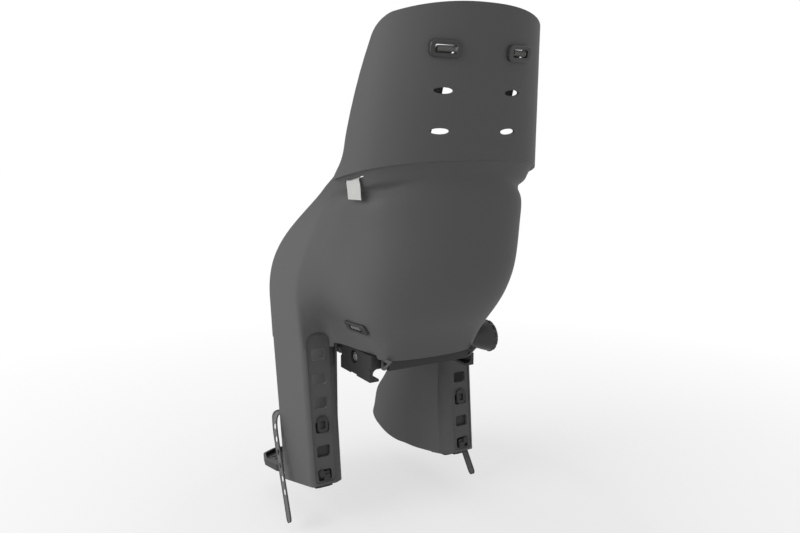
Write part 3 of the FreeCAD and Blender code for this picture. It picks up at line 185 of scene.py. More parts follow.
def vertices(mesh: bpy.types.Mesh, kind: str = "co") -> Array:
    """The vertices' places, or their normals.

    Args:
        mesh: The mesh.
        kind: co for places, normal for normals.

    Returns:
        One row per vertex.
    """
    found = np.zeros(len(mesh.vertices) * 3, np.float32)
    mesh.vertices.foreach_get(kind, found)
    return found.reshape(-1, 3).astype(float)


def place_vertices(mesh: bpy.types.Mesh, points: Array) -> None:
    """Moves a mesh's vertices."""
    mesh.vertices.foreach_set("co", points.astype(np.float32).ravel())
    mesh.update()


def bake(piece: bpy.types.Object) -> None:
    """Applies the piece's modifiers to its mesh.

    Args:
        piece: The piece.
    """
    graph = bpy.context.evaluated_depsgraph_get()
    mesh = bpy.data.meshes.new_from_object(piece.evaluated_get(graph))
    piece.modifiers.clear()
    piece.data = mesh


def relax(mesh: bpy.types.Mesh, rounds: int) -> None:
    """Moves each vertex half way to the mean of its neighbours, a few times.

    Args:
        mesh: The mesh.
        rounds: How many times.
    """
    ends = np.zeros(len(mesh.edges) * 2, np.int32)
    mesh.edges.foreach_get("vertices", ends)
    a, b = ends[0::2], ends[1::2]
    points = vertices(mesh)
    count = np.bincount(ends, minlength=len(points))[:, None]
    for _ in range(rounds):
        total = np.zeros_like(points)
        np.add.at(total, a, points[b])
        np.add.at(total, b, points[a])
        points = points * 0.5 + total / count * 0.5
    place_vertices(mesh, points)


def grid_faces(rows: int, columns: int, wrap_rows: bool = False, wrap_columns: bool = False) -> Array:
    """Quads of a grid of vertices stored row by row, closed on itself where asked.

    Args:
        rows: How many rows of vertices.
        columns: How many vertices in a row.
        wrap_rows: Whether the last row joins the first.
        wrap_columns: Whether a row's last vertex joins its first.

    Returns:
        Four corners per quad.
    """
    r = np.arange(rows if wrap_rows else rows - 1)
    c = np.arange(columns if wrap_columns else columns - 1)
    r, c = (m.ravel() for m in np.meshgrid(r, c, indexing="ij"))
    r2, c2 = (r + 1) % rows, (c + 1) % columns
    return np.stack([r * columns + c, r * columns + c2, r2 * columns + c2, r2 * columns + c], axis=1)
def end_caps(rows: int, columns: int) -> list[list[int]]:
    """The closing faces of a grid whose columns wrap: its first row, and its last row turned."""
    return [list(range(columns)), list(range((rows - 1) * columns, rows * columns))[::-1]]
def set_outwards(piece: bpy.types.Object) -> None:
    """Merges doubles and turns every face outwards.

    Args:
        piece: The piece.
    """
    work = bmesh.new()
    work.from_mesh(piece.data)
    bmesh.ops.remove_doubles(work, verts=work.verts, dist=1e-6)
    bmesh.ops.recalc_face_normals(work, faces=work.faces)
    work.to_mesh(piece.data)
    work.free()


def set_uv(piece: bpy.types.Object, uv: Array) -> None:
    """Gives each vertex its place on the cloth, in metres, as the map named weave.

    Args:
        piece: The piece.
        uv: One place per vertex.
    """
    layer = piece.data.uv_layers.new(name="weave")
    corners = np.zeros(len(piece.data.loops), int)
    piece.data.loops.foreach_get("vertex_index", corners)
    layer.data.foreach_set("uv", uv[corners].astype(np.float32).ravel())


def swept(name: str, centre: Array, side: Array, normal: Array, profile: Array) -> bpy.types.Object:
    """A closed profile carried along a path, with flat ends.

    Args:
        name: The piece's name.
        centre: The path's points.
        side: The profile's first direction at each point.
        normal: The profile's second direction at each point.
        profile: The outline, two numbers per point.

    Returns:
        The closed piece with its own map: length along the path, then place across it.
    """
    points = centre[:, None] + side[:, None] * profile[:, :1] + normal[:, None] * profile[:, 1:]
    rows, columns = points.shape[:2]
    faces = grid_faces(rows, columns, wrap_columns=True).tolist() + end_caps(rows, columns)
    piece = new_piece(name, points, faces)
    uv = np.stack(np.broadcast_arrays(distances(centre)[:, None], profile[:, 0]), axis=-1)
    set_uv(piece, uv.reshape(-1, 2))
    set_outwards(piece)
    return piece


def superellipse(angle: Array, power: Array | float) -> tuple[Array, Array]:
    """Where each angle's ray meets the curve |x|^power + |y|^power = 1.

    Args:
        angle: The angles.
        power: The power: 2 is a circle, and more is nearer to a square.

    Returns:
        The places' x and y.
    """
    c, s = np.cos(angle), np.sin(angle)
    radius = (np.abs(c) ** power + np.abs(s) ** power) ** (-1 / power)
    return c * radius, s * radius


def flat_oval(width: float, thick: float, count: int = 20, power: float = 6.0) -> Array:
    """A band's section: a rectangle with rounded edges, as a superellipse of the given power.

    Args:
        width: Its width.
        thick: Its thickness.
        count: How many points it has.
        power: The superellipse's power.

    Returns:
        One row per point.
    """
    x, y = superellipse(np.linspace(0, 2 * math.pi, count, endpoint=False), power)
    return np.stack([x * width / 2, y * thick / 2], axis=1)


def band_frames(centre: Array, side: Array) -> tuple[Array, Array]:
    """Directions across and through a band, square to its path.

    Args:
        centre: The path's points.
        side: A direction roughly across it at each point.

    Returns:
        The directions across and through.
    """
    along = unit(np.gradient(centre, axis=0))
    across = unit(side - along * np.sum(side * along, axis=1, keepdims=True))
    return across, unit(np.cross(along, across))


def mirrored_copy(piece: bpy.types.Object, name: str) -> bpy.types.Object:
    """The piece on the child's other side, with its faces turned outwards again.

    Args:
        piece: The piece.
        name: The new piece's name.

    Returns:
        The new piece.
    """
    mesh = piece.data.copy()
    place_vertices(mesh, vertices(mesh) * (-1.0, 1.0, 1.0))
    mesh.flip_normals()
    mesh.update()
    return linked(name, mesh)


# Shaders


class Value:
    """One shader socket; arithmetic on it adds Math nodes."""

    def __init__(self, nodes: Nodes, socket: bpy.types.NodeSocket) -> None:
        """Wraps a socket of a node tree."""
        self.nodes = nodes
        self.socket = socket

    def math(self, operation: str, *others: Value | float) -> Value:
        """A Math node on this value and others."""
        return self.nodes.node("ShaderNodeMath", {"operation": operation}, self, *others)

    def __add__(self, other: Value | float) -> Value:
        """Sum."""
        return self.math("ADD", other)

    def __sub__(self, other: Value | float) -> Value:
        """Difference."""
        return self.math("SUBTRACT", other)

    def __rsub__(self, other: float) -> Value:
        """Difference from a number."""
        return self.nodes.node("ShaderNodeMath", {"operation": "SUBTRACT"}, other, self)

    def __mul__(self, other: Value | float) -> Value:
        """Product."""
        return self.math("MULTIPLY", other)

    def __pow__(self, other: float) -> Value:
        """Power."""
        return self.math("POWER", other)

    __radd__ = __add__
    __rmul__ = __mul__

    def clamped(self) -> Value:
        """The value kept between 0 and 1."""
        return self.nodes.node("ShaderNodeClamp", {}, self, 0.0, 1.0)


class Nodes:
    """A node tree whose nodes are added one call at a time."""

    def __init__(self, tree: bpy.types.NodeTree, ending: str) -> None:
        """Empties the tree and gives it its output node.

        Args:
            tree: The tree of a material or a world.
            ending: The output node's type.
        """
        self.tree = tree
        tree.nodes.clear()
        self.output = tree.nodes.new(ending)

    def add(
        self, kind: str, settings: dict[str, Any], values: dict[int | str, Any]
    ) -> bpy.types.Node:
        """Adds one node.

        Args:
            kind: The node's type.
            settings: Its settings, which are set first.
            values: Values or links of its sockets, by number or name.

        Returns:
            The node.
        """
        made = self.tree.nodes.new(kind)
        for key, value in settings.items():
            setattr(made, key, value)
        for key, value in values.items():
            self.feed(made.inputs[key], value)
        return made

    def node(
        self, kind: str, settings: dict[str, Any], *values: Any, out: int | str = 0, **named: Any
    ) -> Value:
        """Adds one node and gives one of its outputs.

        Args:
            kind: The node's type.
            settings: Its settings.
            values: Values or links of its sockets in order.
            out: Which output to return.
            named: Values or links of sockets by name, with a space for each underscore.

        Returns:
            The chosen output.
        """
        by_name = {key.replace("_", " "): value for key, value in named.items()}
        made = self.add(kind, settings, {**dict(enumerate(values)), **by_name})
        return Value(self, made.outputs[out])

    def feed(self, socket: bpy.types.NodeSocket, value: Any) -> None:
        """Links a value to a socket, or sets the socket's own number; a colour gets its alpha.

        Args:
            socket: The socket.
            value: A value to link, or a number, colour or vector.
        """
        if isinstance(value, Value):
            self.tree.links.new(value.socket, socket)
        elif isinstance(value, (int, float)):
            socket.default_value = value
        else:
            bare_colour = len(socket.default_value) == 4 and len(value) == 3
            socket.default_value = (*value, 1.0) if bare_colour else value

    def split(self, vector: Value) -> list[Value]:
        """The three numbers of a vector."""
        outputs = self.add("ShaderNodeSeparateXYZ", {}, {0: vector}).outputs
        return [Value(self, output) for output in outputs]

    def seen(self, first: Value, second: Value, share: Value | float = 1.0) -> None:
        """Ends the tree in a mix that turns to the second shader where it is seen.

        Seen is the largest of three marks, for the camera's, reflected and transmitted rays, times
        the share.

        Args:
            first: The shader that lights the scene.
            second: The shader that is seen.
            share: How much of the second is seen.
        """
        path = self.add("ShaderNodeLightPath", {}, {}).outputs
        total = Value(self, path["Is Camera Ray"])
        for other in ("Is Glossy Ray", "Is Transmission Ray"):
            total = total.math("MAXIMUM", Value(self, path[other]))
        mixed = self.node("ShaderNodeMixShader", {}, total * share, first, second)
        self.feed(self.output.inputs["Surface"], mixed)


class Shader(Nodes):
    """A material's nodes round one main shader."""

    def __init__(self, name: str) -> None:
        """Starts an empty material with its output and main shader.

        Args:
            name: The material's name.
        """
        self.material = bpy.data.materials.new(name)
        self.material.use_nodes = True
        super().__init__(self.material.node_tree, "ShaderNodeOutputMaterial")
        self.surface = self.tree.nodes.new("ShaderNodeBsdfPrincipled")
        self.tree.links.new(self.surface.outputs[0], self.output.inputs["Surface"])

    def coat(self, **sockets: Any) -> bpy.types.Material:
        """Sets sockets of the main shader, a space for each underscore, and gives the material.

        Args:
            sockets: Values or links by the socket's name.

        Returns:
            The material.
        """
        for key, value in sockets.items():
            self.feed(self.surface.inputs[key.replace("_", " ")], value)
        return self.material

    def place(self) -> Value:
        """The point on the piece, in metres."""
        return self.node("ShaderNodeTexCoord", {}, out="Object")

    def threads(self) -> Value:
        """The point on the piece's own map, in metres of cloth."""
        return self.node("ShaderNodeUVMap", {"uv_map": "weave"})

    def noise(self, scale: float, detail: float = 3.0, rough: float = 0.55) -> Value:
        """Soft noise with so many waves to the metre.

        Args:
            scale: Waves to the metre.
            detail: The noise's detail.
            rough: Its roughness.

        Returns:
            The noise.
        """
        return self.node(
            "ShaderNodeTexNoise", {}, Vector=self.place(), Scale=scale, Detail=detail, Roughness=rough
        )

    def streaks(self, waves: Place, detail: float, rough: float = 0.5) -> Value:
        """Noise drawn out into streaks, with its own number of waves to the metre on each axis.

        Args:
            waves: Waves to the metre.
            detail: The noise's detail.
            rough: Its roughness.

        Returns:
            The noise.
        """
        drawn = self.node("ShaderNodeMapping", {}, Vector=self.place(), Scale=waves)
        return self.node(
            "ShaderNodeTexNoise", {}, Vector=drawn, Scale=1.0, Detail=detail, Roughness=rough
        )

    def blend(self, factor: Value | float, first: Any, second: Any) -> Value:
        """A colour between two; a Mix node keeps its colours' sockets at 6, 7 and 2.

        Args:
            factor: Share of the second.
            first: The first colour.
            second: The second.

        Returns:
            The colour.
        """
        values = {0: factor, 6: first, 7: second}
        made = self.add("ShaderNodeMix", {"data_type": "RGBA"}, values)
        return Value(self, made.outputs[2])

    def shaded(self, factor: Value, colour: Colour, shades: tuple[float, float]) -> Value:
        """A colour that wavers between a darker and a lighter shade of itself."""
        return self.blend(factor, tinted(colour, shades[0]), tinted(colour, shades[1]))

    def bump(self, height: Value, distance: float, strength: float = 1.0) -> Value:
        """A bumped normal from a height, in metres."""
        return self.node("ShaderNodeBump", {}, Strength=strength, Distance=distance, Height=height)


def tinted(colour: Colour, factor: float) -> Colour:
    """A colour made lighter or darker."""
    return tuple(min(1.0, c * factor) for c in colour)


@dataclass(frozen=True)
class MouldedPlastic:
    """Injection-moulded plastic with a fine spark-eroded grain.

    Attributes:
        name: The material's name.
        colour: Its colour.
        roughness: How matte it is.
        grain: Width of a grain in millimetres.
        depth: Depth of the grain in millimetres.
        shine: Weight of its specular reflection.
        shades: Its darkest and lightest shade, as shares of the colour.
        scuffs: Waves of its scuffs to the metre, on each axis.
    """

    name: str
    colour: Colour
    roughness: float = 0.55
    grain: float = 0.7
    depth: float = 0.03
    shine: float = 0.4
    shades: tuple[float, float] = (0.93, 1.07)
    scuffs: Place = (60.0, 400.0, 25.0)

    def material(self) -> bpy.types.Material:
        """Broad cloudy tone, fine grain in roughness and height, and faint scuffs.

        Returns:
            The material.
        """
        s = Shader(self.name)
        broad = s.noise(7.0, 2.0)
        grain = s.noise(1000.0 / self.grain, 4.0, 0.6)
        marks = ((s.streaks(self.scuffs, 6.0, 0.7) - 0.66) * 6.0).clamped()
        body = s.shaded((broad * 0.7 + grain * 0.3).clamped(), self.colour, self.shades)
        return s.coat(
            Base_Color=s.blend(marks * 0.25, body, tinted(self.colour, 1.6)),
            Roughness=(grain * 0.14 + (self.roughness - 0.07)) + marks * 0.06,
            Normal=s.bump(grain, self.depth * MM * 2, 0.7),
            IOR=1.47,
            Specular_IOR_Level=self.shine,
        )


@dataclass(frozen=True)
class TurnedMetal:
    """Plated or plain metal with fine machining marks.

    Attributes:
        name: The material's name.
        colour: Its colour.
        roughness: How dull it is.
        shades: Its darkest and lightest shade, as shares of the colour.
        marks: Waves of its machining marks to the metre, on each axis.
    """

    name: str
    colour: Colour
    roughness: float = 0.32
    shades: tuple[float, float] = (0.85, 1.08)
    marks: Place = (3000.0, 300.0, 300.0)

    def material(self) -> bpy.types.Material:
        """Fine streaks in roughness, a cloudy film in colour.

        Returns:
            The material.
        """
        s = Shader(self.name)
        streak = s.streaks(self.marks, 3.0)
        film = s.noise(140.0, 4.0)
        return s.coat(
            Base_Color=s.shaded(film, self.colour, self.shades),
            Metallic=1.0,
            Roughness=streak * 0.18 + film * 0.1 + (self.roughness - 0.12),
            Normal=s.bump(streak, 0.02 * MM, 0.5),
        )


CLOTH_SHEEN_ROUGHNESS = 0.45


class Weave(Enum):
    """How a cloth is woven: threads to the metre across and along, and a thread's height."""

    CANVAS = (1500.0, 1500.0, 0.00012)
    TAPE = (2600.0, 2600.0, 0.00004)


@dataclass(frozen=True)
class WovenCloth:
    """Plain woven cloth.

    Attributes:
        name: The material's name.
        colour: Colour of its threads.
        weave: How it is woven.
        mapped: Whether the threads follow the piece's own map, and not its place.
        fuzz: Weight of the cloth's sheen.
        shades: Its darkest and lightest shade, as shares of the colour.
    """

    name: str
    colour: Colour
    weave: Weave
    mapped: bool = True
    fuzz: float = 0.35
    shades: tuple[float, float] = (0.62, 1.35)

    def material(self) -> bpy.types.Material:
        """Warp and weft: two waves at right angles, one up where the other is down.

        Returns:
            The material.
        """
        s = Shader(self.name)
        across, along, height = self.weave.value
        x, y, z = s.split(s.threads() if self.mapped else s.place())
        warp = (x * (along * math.pi)).math("SINE")
        weft = ((y if self.mapped else z) * (across * math.pi)).math("SINE")
        over = (warp * weft) * 0.5 + 0.5
        ridge = (warp * warp + weft * weft) * 0.5
        cloudy = s.noise(35.0)
        return s.coat(
            Base_Color=s.shaded(over * 0.6 + cloudy * 0.4, self.colour, self.shades),
            Roughness=cloudy * 0.1 + 0.78,
            Normal=s.bump(ridge * 0.5 + over * 0.5, height, 0.9),
            Sheen_Weight=self.fuzz,
            Sheen_Roughness=CLOTH_SHEEN_ROUGHNESS,
            Specular_IOR_Level=0.2,
        )


@dataclass(frozen=True)
class Herringbone:
    """Strap webbing with pale zigzag threads across a dark ground.

    Attributes:
        name: The material's name.
        ground: Colour of the ground.
        thread: Colour of the zigzag threads.
        pitch: Distance between two zigzags in metres.
        rib: Length of a rib of single threads, across and along, in metres.
        shades: The ground's darkest and lightest shade, as shares of its colour.
    """

    name: str
    ground: Colour
    thread: Colour
    pitch: float = 0.0032
    rib: tuple[float, float] = (0.0009, 0.0007)
    shades: tuple[float, float] = (0.7, 1.3)

    def material(self) -> bpy.types.Material:
        """Zigzag u + |v| bent every half band; fine ribs of single threads lie over it.

        Returns:
            The material.
        """
        s = Shader(self.name)
        along, across, _ = s.split(s.threads())
        bend = ((across * (0.5 / self.pitch)).math("FRACT") - 0.5).math("ABSOLUTE")
        wave = ((along * (1.0 / self.pitch) + bend * 2.0) * (2 * math.pi)).math("SINE")
        zigzag = (wave * 2.2 - 0.7).clamped()
        ribs_across = (across * (2 * math.pi / self.rib[0])).math("SINE")
        ribs = ribs_across * (along * (2 * math.pi / self.rib[1])).math("SINE")
        cloudy = s.noise(40.0)
        dark = s.shaded(cloudy, self.ground, self.shades)
        return s.coat(
            Base_Color=s.blend(zigzag * (ribs * 0.2 + 0.8), dark, self.thread),
            Roughness=cloudy * 0.1 + 0.74,
            Normal=s.bump(zigzag * 0.6 + ribs * 0.4, 0.3 * MM, 0.8),
            Sheen_Weight=0.3,
            Sheen_Roughness=CLOTH_SHEEN_ROUGHNESS,
            Specular_IOR_Level=0.25,
        )


@dataclass(frozen=True)
class SoftRubber:
    """Moulded rubber with a dusty bloom.

    Attributes:
        name: The material's name.
        colour: Its colour.
        roughness: How matte it is.
        shades: Its darkest and lightest shade, as shares of the colour.
    """

    name: str
    colour: Colour
    roughness: float = 0.62
    shades: tuple[float, float] = (0.85, 1.25)

    def material(self) -> bpy.types.Material:
        """A bloom that lightens patches, and a slight orange-peel height.

        Returns:
            The material.
        """
        s = Shader(self.name)
        bloom = s.noise(60.0, 5.0, 0.65)
        peel = s.noise(1800.0, 2.0)
        return s.coat(
            Base_Color=s.shaded(bloom, self.colour, self.shades),
            Roughness=bloom * 0.16 + (self.roughness - 0.08),
            Normal=s.bump(peel, 0.03 * MM, 0.6),
            Specular_IOR_Level=0.35,
        )


SHELL_GREY: Colour = (0.098, 0.098, 0.099)
NEAR_BLACK: Colour = (0.028, 0.028, 0.029)

SHELL = MouldedPlastic("shell_grey_plastic", SHELL_GREY, 0.6, 0.8, 0.03, 0.35)
BRACKET = MouldedPlastic("bracket_black_plastic", NEAR_BLACK, 0.5, 0.9, 0.04)
JAW = MouldedPlastic("jaw_black_plastic", tinted(NEAR_BLACK, 0.9), 0.48, 0.9, 0.04)
KNOB = MouldedPlastic("knob_black_plastic", tinted(NEAR_BLACK, 1.1), 0.4, 0.6, 0.02, 0.5)
FOOTREST = MouldedPlastic("footrest_black_plastic", tinted(NEAR_BLACK, 1.15), 0.5, 0.8, 0.04)
RETAINER = MouldedPlastic("retainer_black_plastic", tinted(NEAR_BLACK, 1.1), 0.42, 0.5, 0.02, 0.5)
BUCKLE = MouldedPlastic("buckle_black_plastic", tinted(NEAR_BLACK, 0.85), 0.3, 0.5, 0.01, 0.5)
BUTTON = MouldedPlastic("button_red_plastic", (0.52, 0.02, 0.015), 0.3, 0.5, 0.01, 0.5)
ZINC = TurnedMetal("zinc_plated_steel", (0.56, 0.56, 0.57), 0.34)
LUG = TurnedMetal("lug_light_metal", (0.5, 0.5, 0.5), 0.45)
STRAP_RUBBER = SoftRubber("foot_strap_rubber", (0.12, 0.12, 0.121))
WEBBING = Herringbone("harness_webbing", (0.02, 0.02, 0.021), (0.5, 0.5, 0.46))
PAD_CLOTH = WovenCloth("shoulder_pad_cloth", (0.035, 0.035, 0.037), Weave.CANVAS, mapped=False)
CUSHION_CLOTH = WovenCloth("cushion_cloth", (0.085, 0.085, 0.09), Weave.CANVAS, mapped=False)
PIPING_CLOTH = WovenCloth("piping_cloth", (0.03, 0.03, 0.032), Weave.TAPE)
STRAP_EDGE = SoftRubber("foot_strap_edge_rubber", (0.05, 0.05, 0.051), 0.55)
THREAD = WovenCloth("grey_thread", (0.16, 0.16, 0.165), Weave.TAPE, fuzz=0.1)
TAG_THREAD = WovenCloth("pale_thread", (0.42, 0.42, 0.41), Weave.TAPE, fuzz=0.1)
TAG_CLOTH = WovenCloth("tag_light_cloth", (0.62, 0.62, 0.6), Weave.TAPE, fuzz=0.1)

Finish = MouldedPlastic | TurnedMetal | WovenCloth | Herringbone | SoftRubber
MADE: dict[str, bpy.types.Material] = {}


def dress(piece: bpy.types.Object, finish: Finish) -> bpy.types.Object:
    """Puts a finish on every slot of a piece.

    Args:
        piece: The piece.
        finish: Its finish.

    Returns:
        The piece.
    """
    if finish.name not in MADE:
        MADE[finish.name] = finish.material()
    piece.data.materials.clear()
    piece.data.materials.append(MADE[finish.name])
    return piece


# Camera, light and floor


@dataclass(frozen=True)
class Lamp:
    """A soft square lamp.

    Attributes:
        name: Its name.
        place: Where it stands.
        size: Its width.
        power: Its power in watts.
    """

    name: str
    place: Place
    size: float
    power: float


@dataclass(frozen=True)
class Studio:
    """The photograph's viewpoint and plain soft light over a pale floor.

    Attributes:
        eye: Place of the camera.
        look: Its direction.
        lens: Focal length for a sensor 36 mm wide.
        floor_height: Height of the floor.
        floor_half: Half of the floor's width.
        world_light: Strength of the even light from all around.
        middle: Where the lamps look to.
        lamps: The lamps.
    """

    eye: Place = (0.6443, 1.0631, 0.3520)
    look: Place = (-0.5029, -0.8489, -0.1633)
    lens: float = 35.0
    floor_height: float = -0.300
    floor_half: float = 12.0
    world_light: float = 0.36
    middle: Place = (0.0, 0.0, 0.15)
    lamps: tuple[Lamp, ...] = (
        Lamp("lamp_left", (3.2, 0.4, 1.6), 2.2, 62.0),
        Lamp("lamp_top", (0.3, 0.6, 3.4), 2.6, 12.0),
        Lamp("lamp_front", (0.6, -3.4, 1.4), 2.4, 26.0),
    )

    def aimed(self, name: str, data: bpy.types.ID, place: Place, look: Vector) -> bpy.types.Object:
        """A camera or lamp at a place, level, that looks in a direction.

        Args:
            name: Its name.
            data: The camera or lamp.
            place: Where it stands.
            look: Where it looks.

        Returns:
            The object.
        """
        made = linked(name, data)
        made.location = place
        made.rotation_mode = "QUATERNION"
        made.rotation_quaternion = look.to_track_quat("-Z", "Y")
        return made

    def camera(self) -> None:
        """The camera, at the photograph's viewing angle."""
        data = bpy.data.cameras.new("camera")
        data.lens, data.sensor_width = self.lens, 36.0
        data.clip_start, data.clip_end = 0.01, 50.0
        bpy.context.scene.camera = self.aimed("camera", data, self.eye, Vector(self.look))

    def light(self, lamp: Lamp) -> None:
        """Sets up one lamp.

        Args:
            lamp: The lamp.
        """
        data = bpy.data.lights.new(lamp.name, "AREA")
        data.shape, data.size, data.energy = "SQUARE", lamp.size, lamp.power
        self.aimed(lamp.name, data, lamp.place, Vector(self.middle) - Vector(lamp.place))

    def world(self) -> None:
        """Even grey light, white where it is seen."""
        world = bpy.data.worlds.new("studio")
        world.use_nodes = True
        nodes = Nodes(world.node_tree, "ShaderNodeOutputWorld")
        light = nodes.node("ShaderNodeBackground", {}, Color=WHITE, Strength=self.world_light)
        nodes.seen(light, nodes.node("ShaderNodeBackground", {}, Color=WHITE, Strength=1.0))
        bpy.context.scene.world = world

    def floor(self) -> None:
        """A pale floor that keeps the seat's shadow and fades to white further out."""
        half, z = self.floor_half, self.floor_height
        points = np.array([[-half, -half, z], [half, -half, z], [half, half, z], [-half, half, z]])
        floor = new_piece("floor", points, [[0, 1, 2, 3]], smooth=False)
        s = Shader("floor_paint")
        s.coat(Base_Color=(0.93, 0.93, 0.93), Roughness=0.9, Specular_IOR_Level=0.1)
        away = s.node("ShaderNodeVectorMath", {"operation": "LENGTH"}, s.place(), out=1)
        faded = ((away - 0.5) * 0.9).clamped() ** 0.7
        glow = s.node("ShaderNodeEmission", {}, Color=WHITE)
        s.seen(Value(s, s.surface.outputs[0]), glow, faded * 0.4 + 0.6)
        floor.data.materials.append(s.material)

    def build(self) -> None:
        """Sets up the whole studio."""
        self.camera()
        self.world()
        self.floor()
        for lamp in self.lamps:
            self.light(lamp)
        bpy.context.scene.view_settings.view_transform = "Standard"
        LOG.info("studio ready")


# The rigid pieces keep their solids and get their finishes


class SolidDress:
    """Finishes of the carried-over solids, by the start of their names."""

    finishes: dict[str, Finish] = {
        "seat_shell": SHELL,
        "carrier_bracket": BRACKET,
        "bracket_bolts": ZINC,
        "jaw": JAW,
        "clamp_screw": ZINC,
        "clamp_nut": ZINC,
        "nut_washer": ZINC,
        "clamp_knob": KNOB,
        "adapter_lug": LUG,
        "footrest": FOOTREST,
        "foot_strap": STRAP_RUBBER,
        "shoulder_retainer": RETAINER,
        "lap_retainer": RETAINER,
        "shoulder_strap": WEBBING,
        "lap_strap": WEBBING,
        "crotch_strap": WEBBING,
        "crotch_anchor": ZINC,
        "harness_pad": PAD_CLOTH,
        "strap_adjuster": BUCKLE,
        "buckle": BUCKLE,
        "release_button": BUTTON,
        "back_cushion": CUSHION_CLOTH,
        "seat_cushion": CUSHION_CLOTH,
        "side_tag": TAG_CLOTH,
    }

    def build(self) -> None:
        """Dresses every solid."""
        for name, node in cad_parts.items():
            start = max((key for key in self.finishes if name.startswith(key)), key=len)
            dress(node, self.finishes[start])
            LOG.info("dressed %s", name)


# Soft goods


def millimetres(points: Sequence[Sequence[float]]) -> Array:
    """Points given in millimetres, in metres."""
    return np.asarray(points, float) * MM


def settle(piece: bpy.types.Object, finish: Finish, nodes: Sequence[str] = ()) -> bpy.types.Object:
    """Gives a piece its finish and slot, and its place on the seat instead of its solids.

    Args:
        piece: The piece.
        finish: Its finish.
        nodes: The solids that it stands for.

    Returns:
        The piece.
    """
    dress(piece, finish)
    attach(piece, "seat")
    if nodes:
        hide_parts(*nodes)
    LOG.info("made %s", piece.name)
    return piece


@dataclass(frozen=True)
class Band:
    """A flat strap along a smooth route.

    Attributes:
        route: Control points of its middle line, in millimetres.
        across: Direction of its width at each control point.
        width: Its width in millimetres.
        thick: Its thickness in millimetres.
    """

    route: Sequence[Sequence[float]]
    across: Sequence[Sequence[float]]
    width: float
    thick: float

    def frames(self, count: int) -> tuple[Array, Array, Array, Array]:
        """Even steps along the route.

        Args:
            count: How many steps.

        Returns:
            The points, the directions across and through there, and the distances run.
        """
        line = SmoothLine(millimetres(self.route))
        fine = np.linspace(0, 1, FINE_STEPS)
        run = distances(line.at(fine))
        goal = np.linspace(0.0, run[-1], count)
        t = np.interp(goal, run, fine)
        centre = line.at(t)
        side, normal = band_frames(centre, SmoothLine(np.asarray(self.across, float)).at(t))
        return centre, side, normal, goal

    def piece(self, name: str, count: int = 180, power: float = 8.0) -> tuple[bpy.types.Object, float]:
        """The strap as a closed mesh.

        Args:
            name: The piece's name.
            count: How many sections it has along its length.
            power: Power of the superellipse that its section is.

        Returns:
            The piece and its length in metres.
        """
        centre, side, normal, run = self.frames(count)
        section = flat_oval(self.width * MM, self.thick * MM, 28, power)
        return swept(name, centre, side, normal, section), float(run[-1])


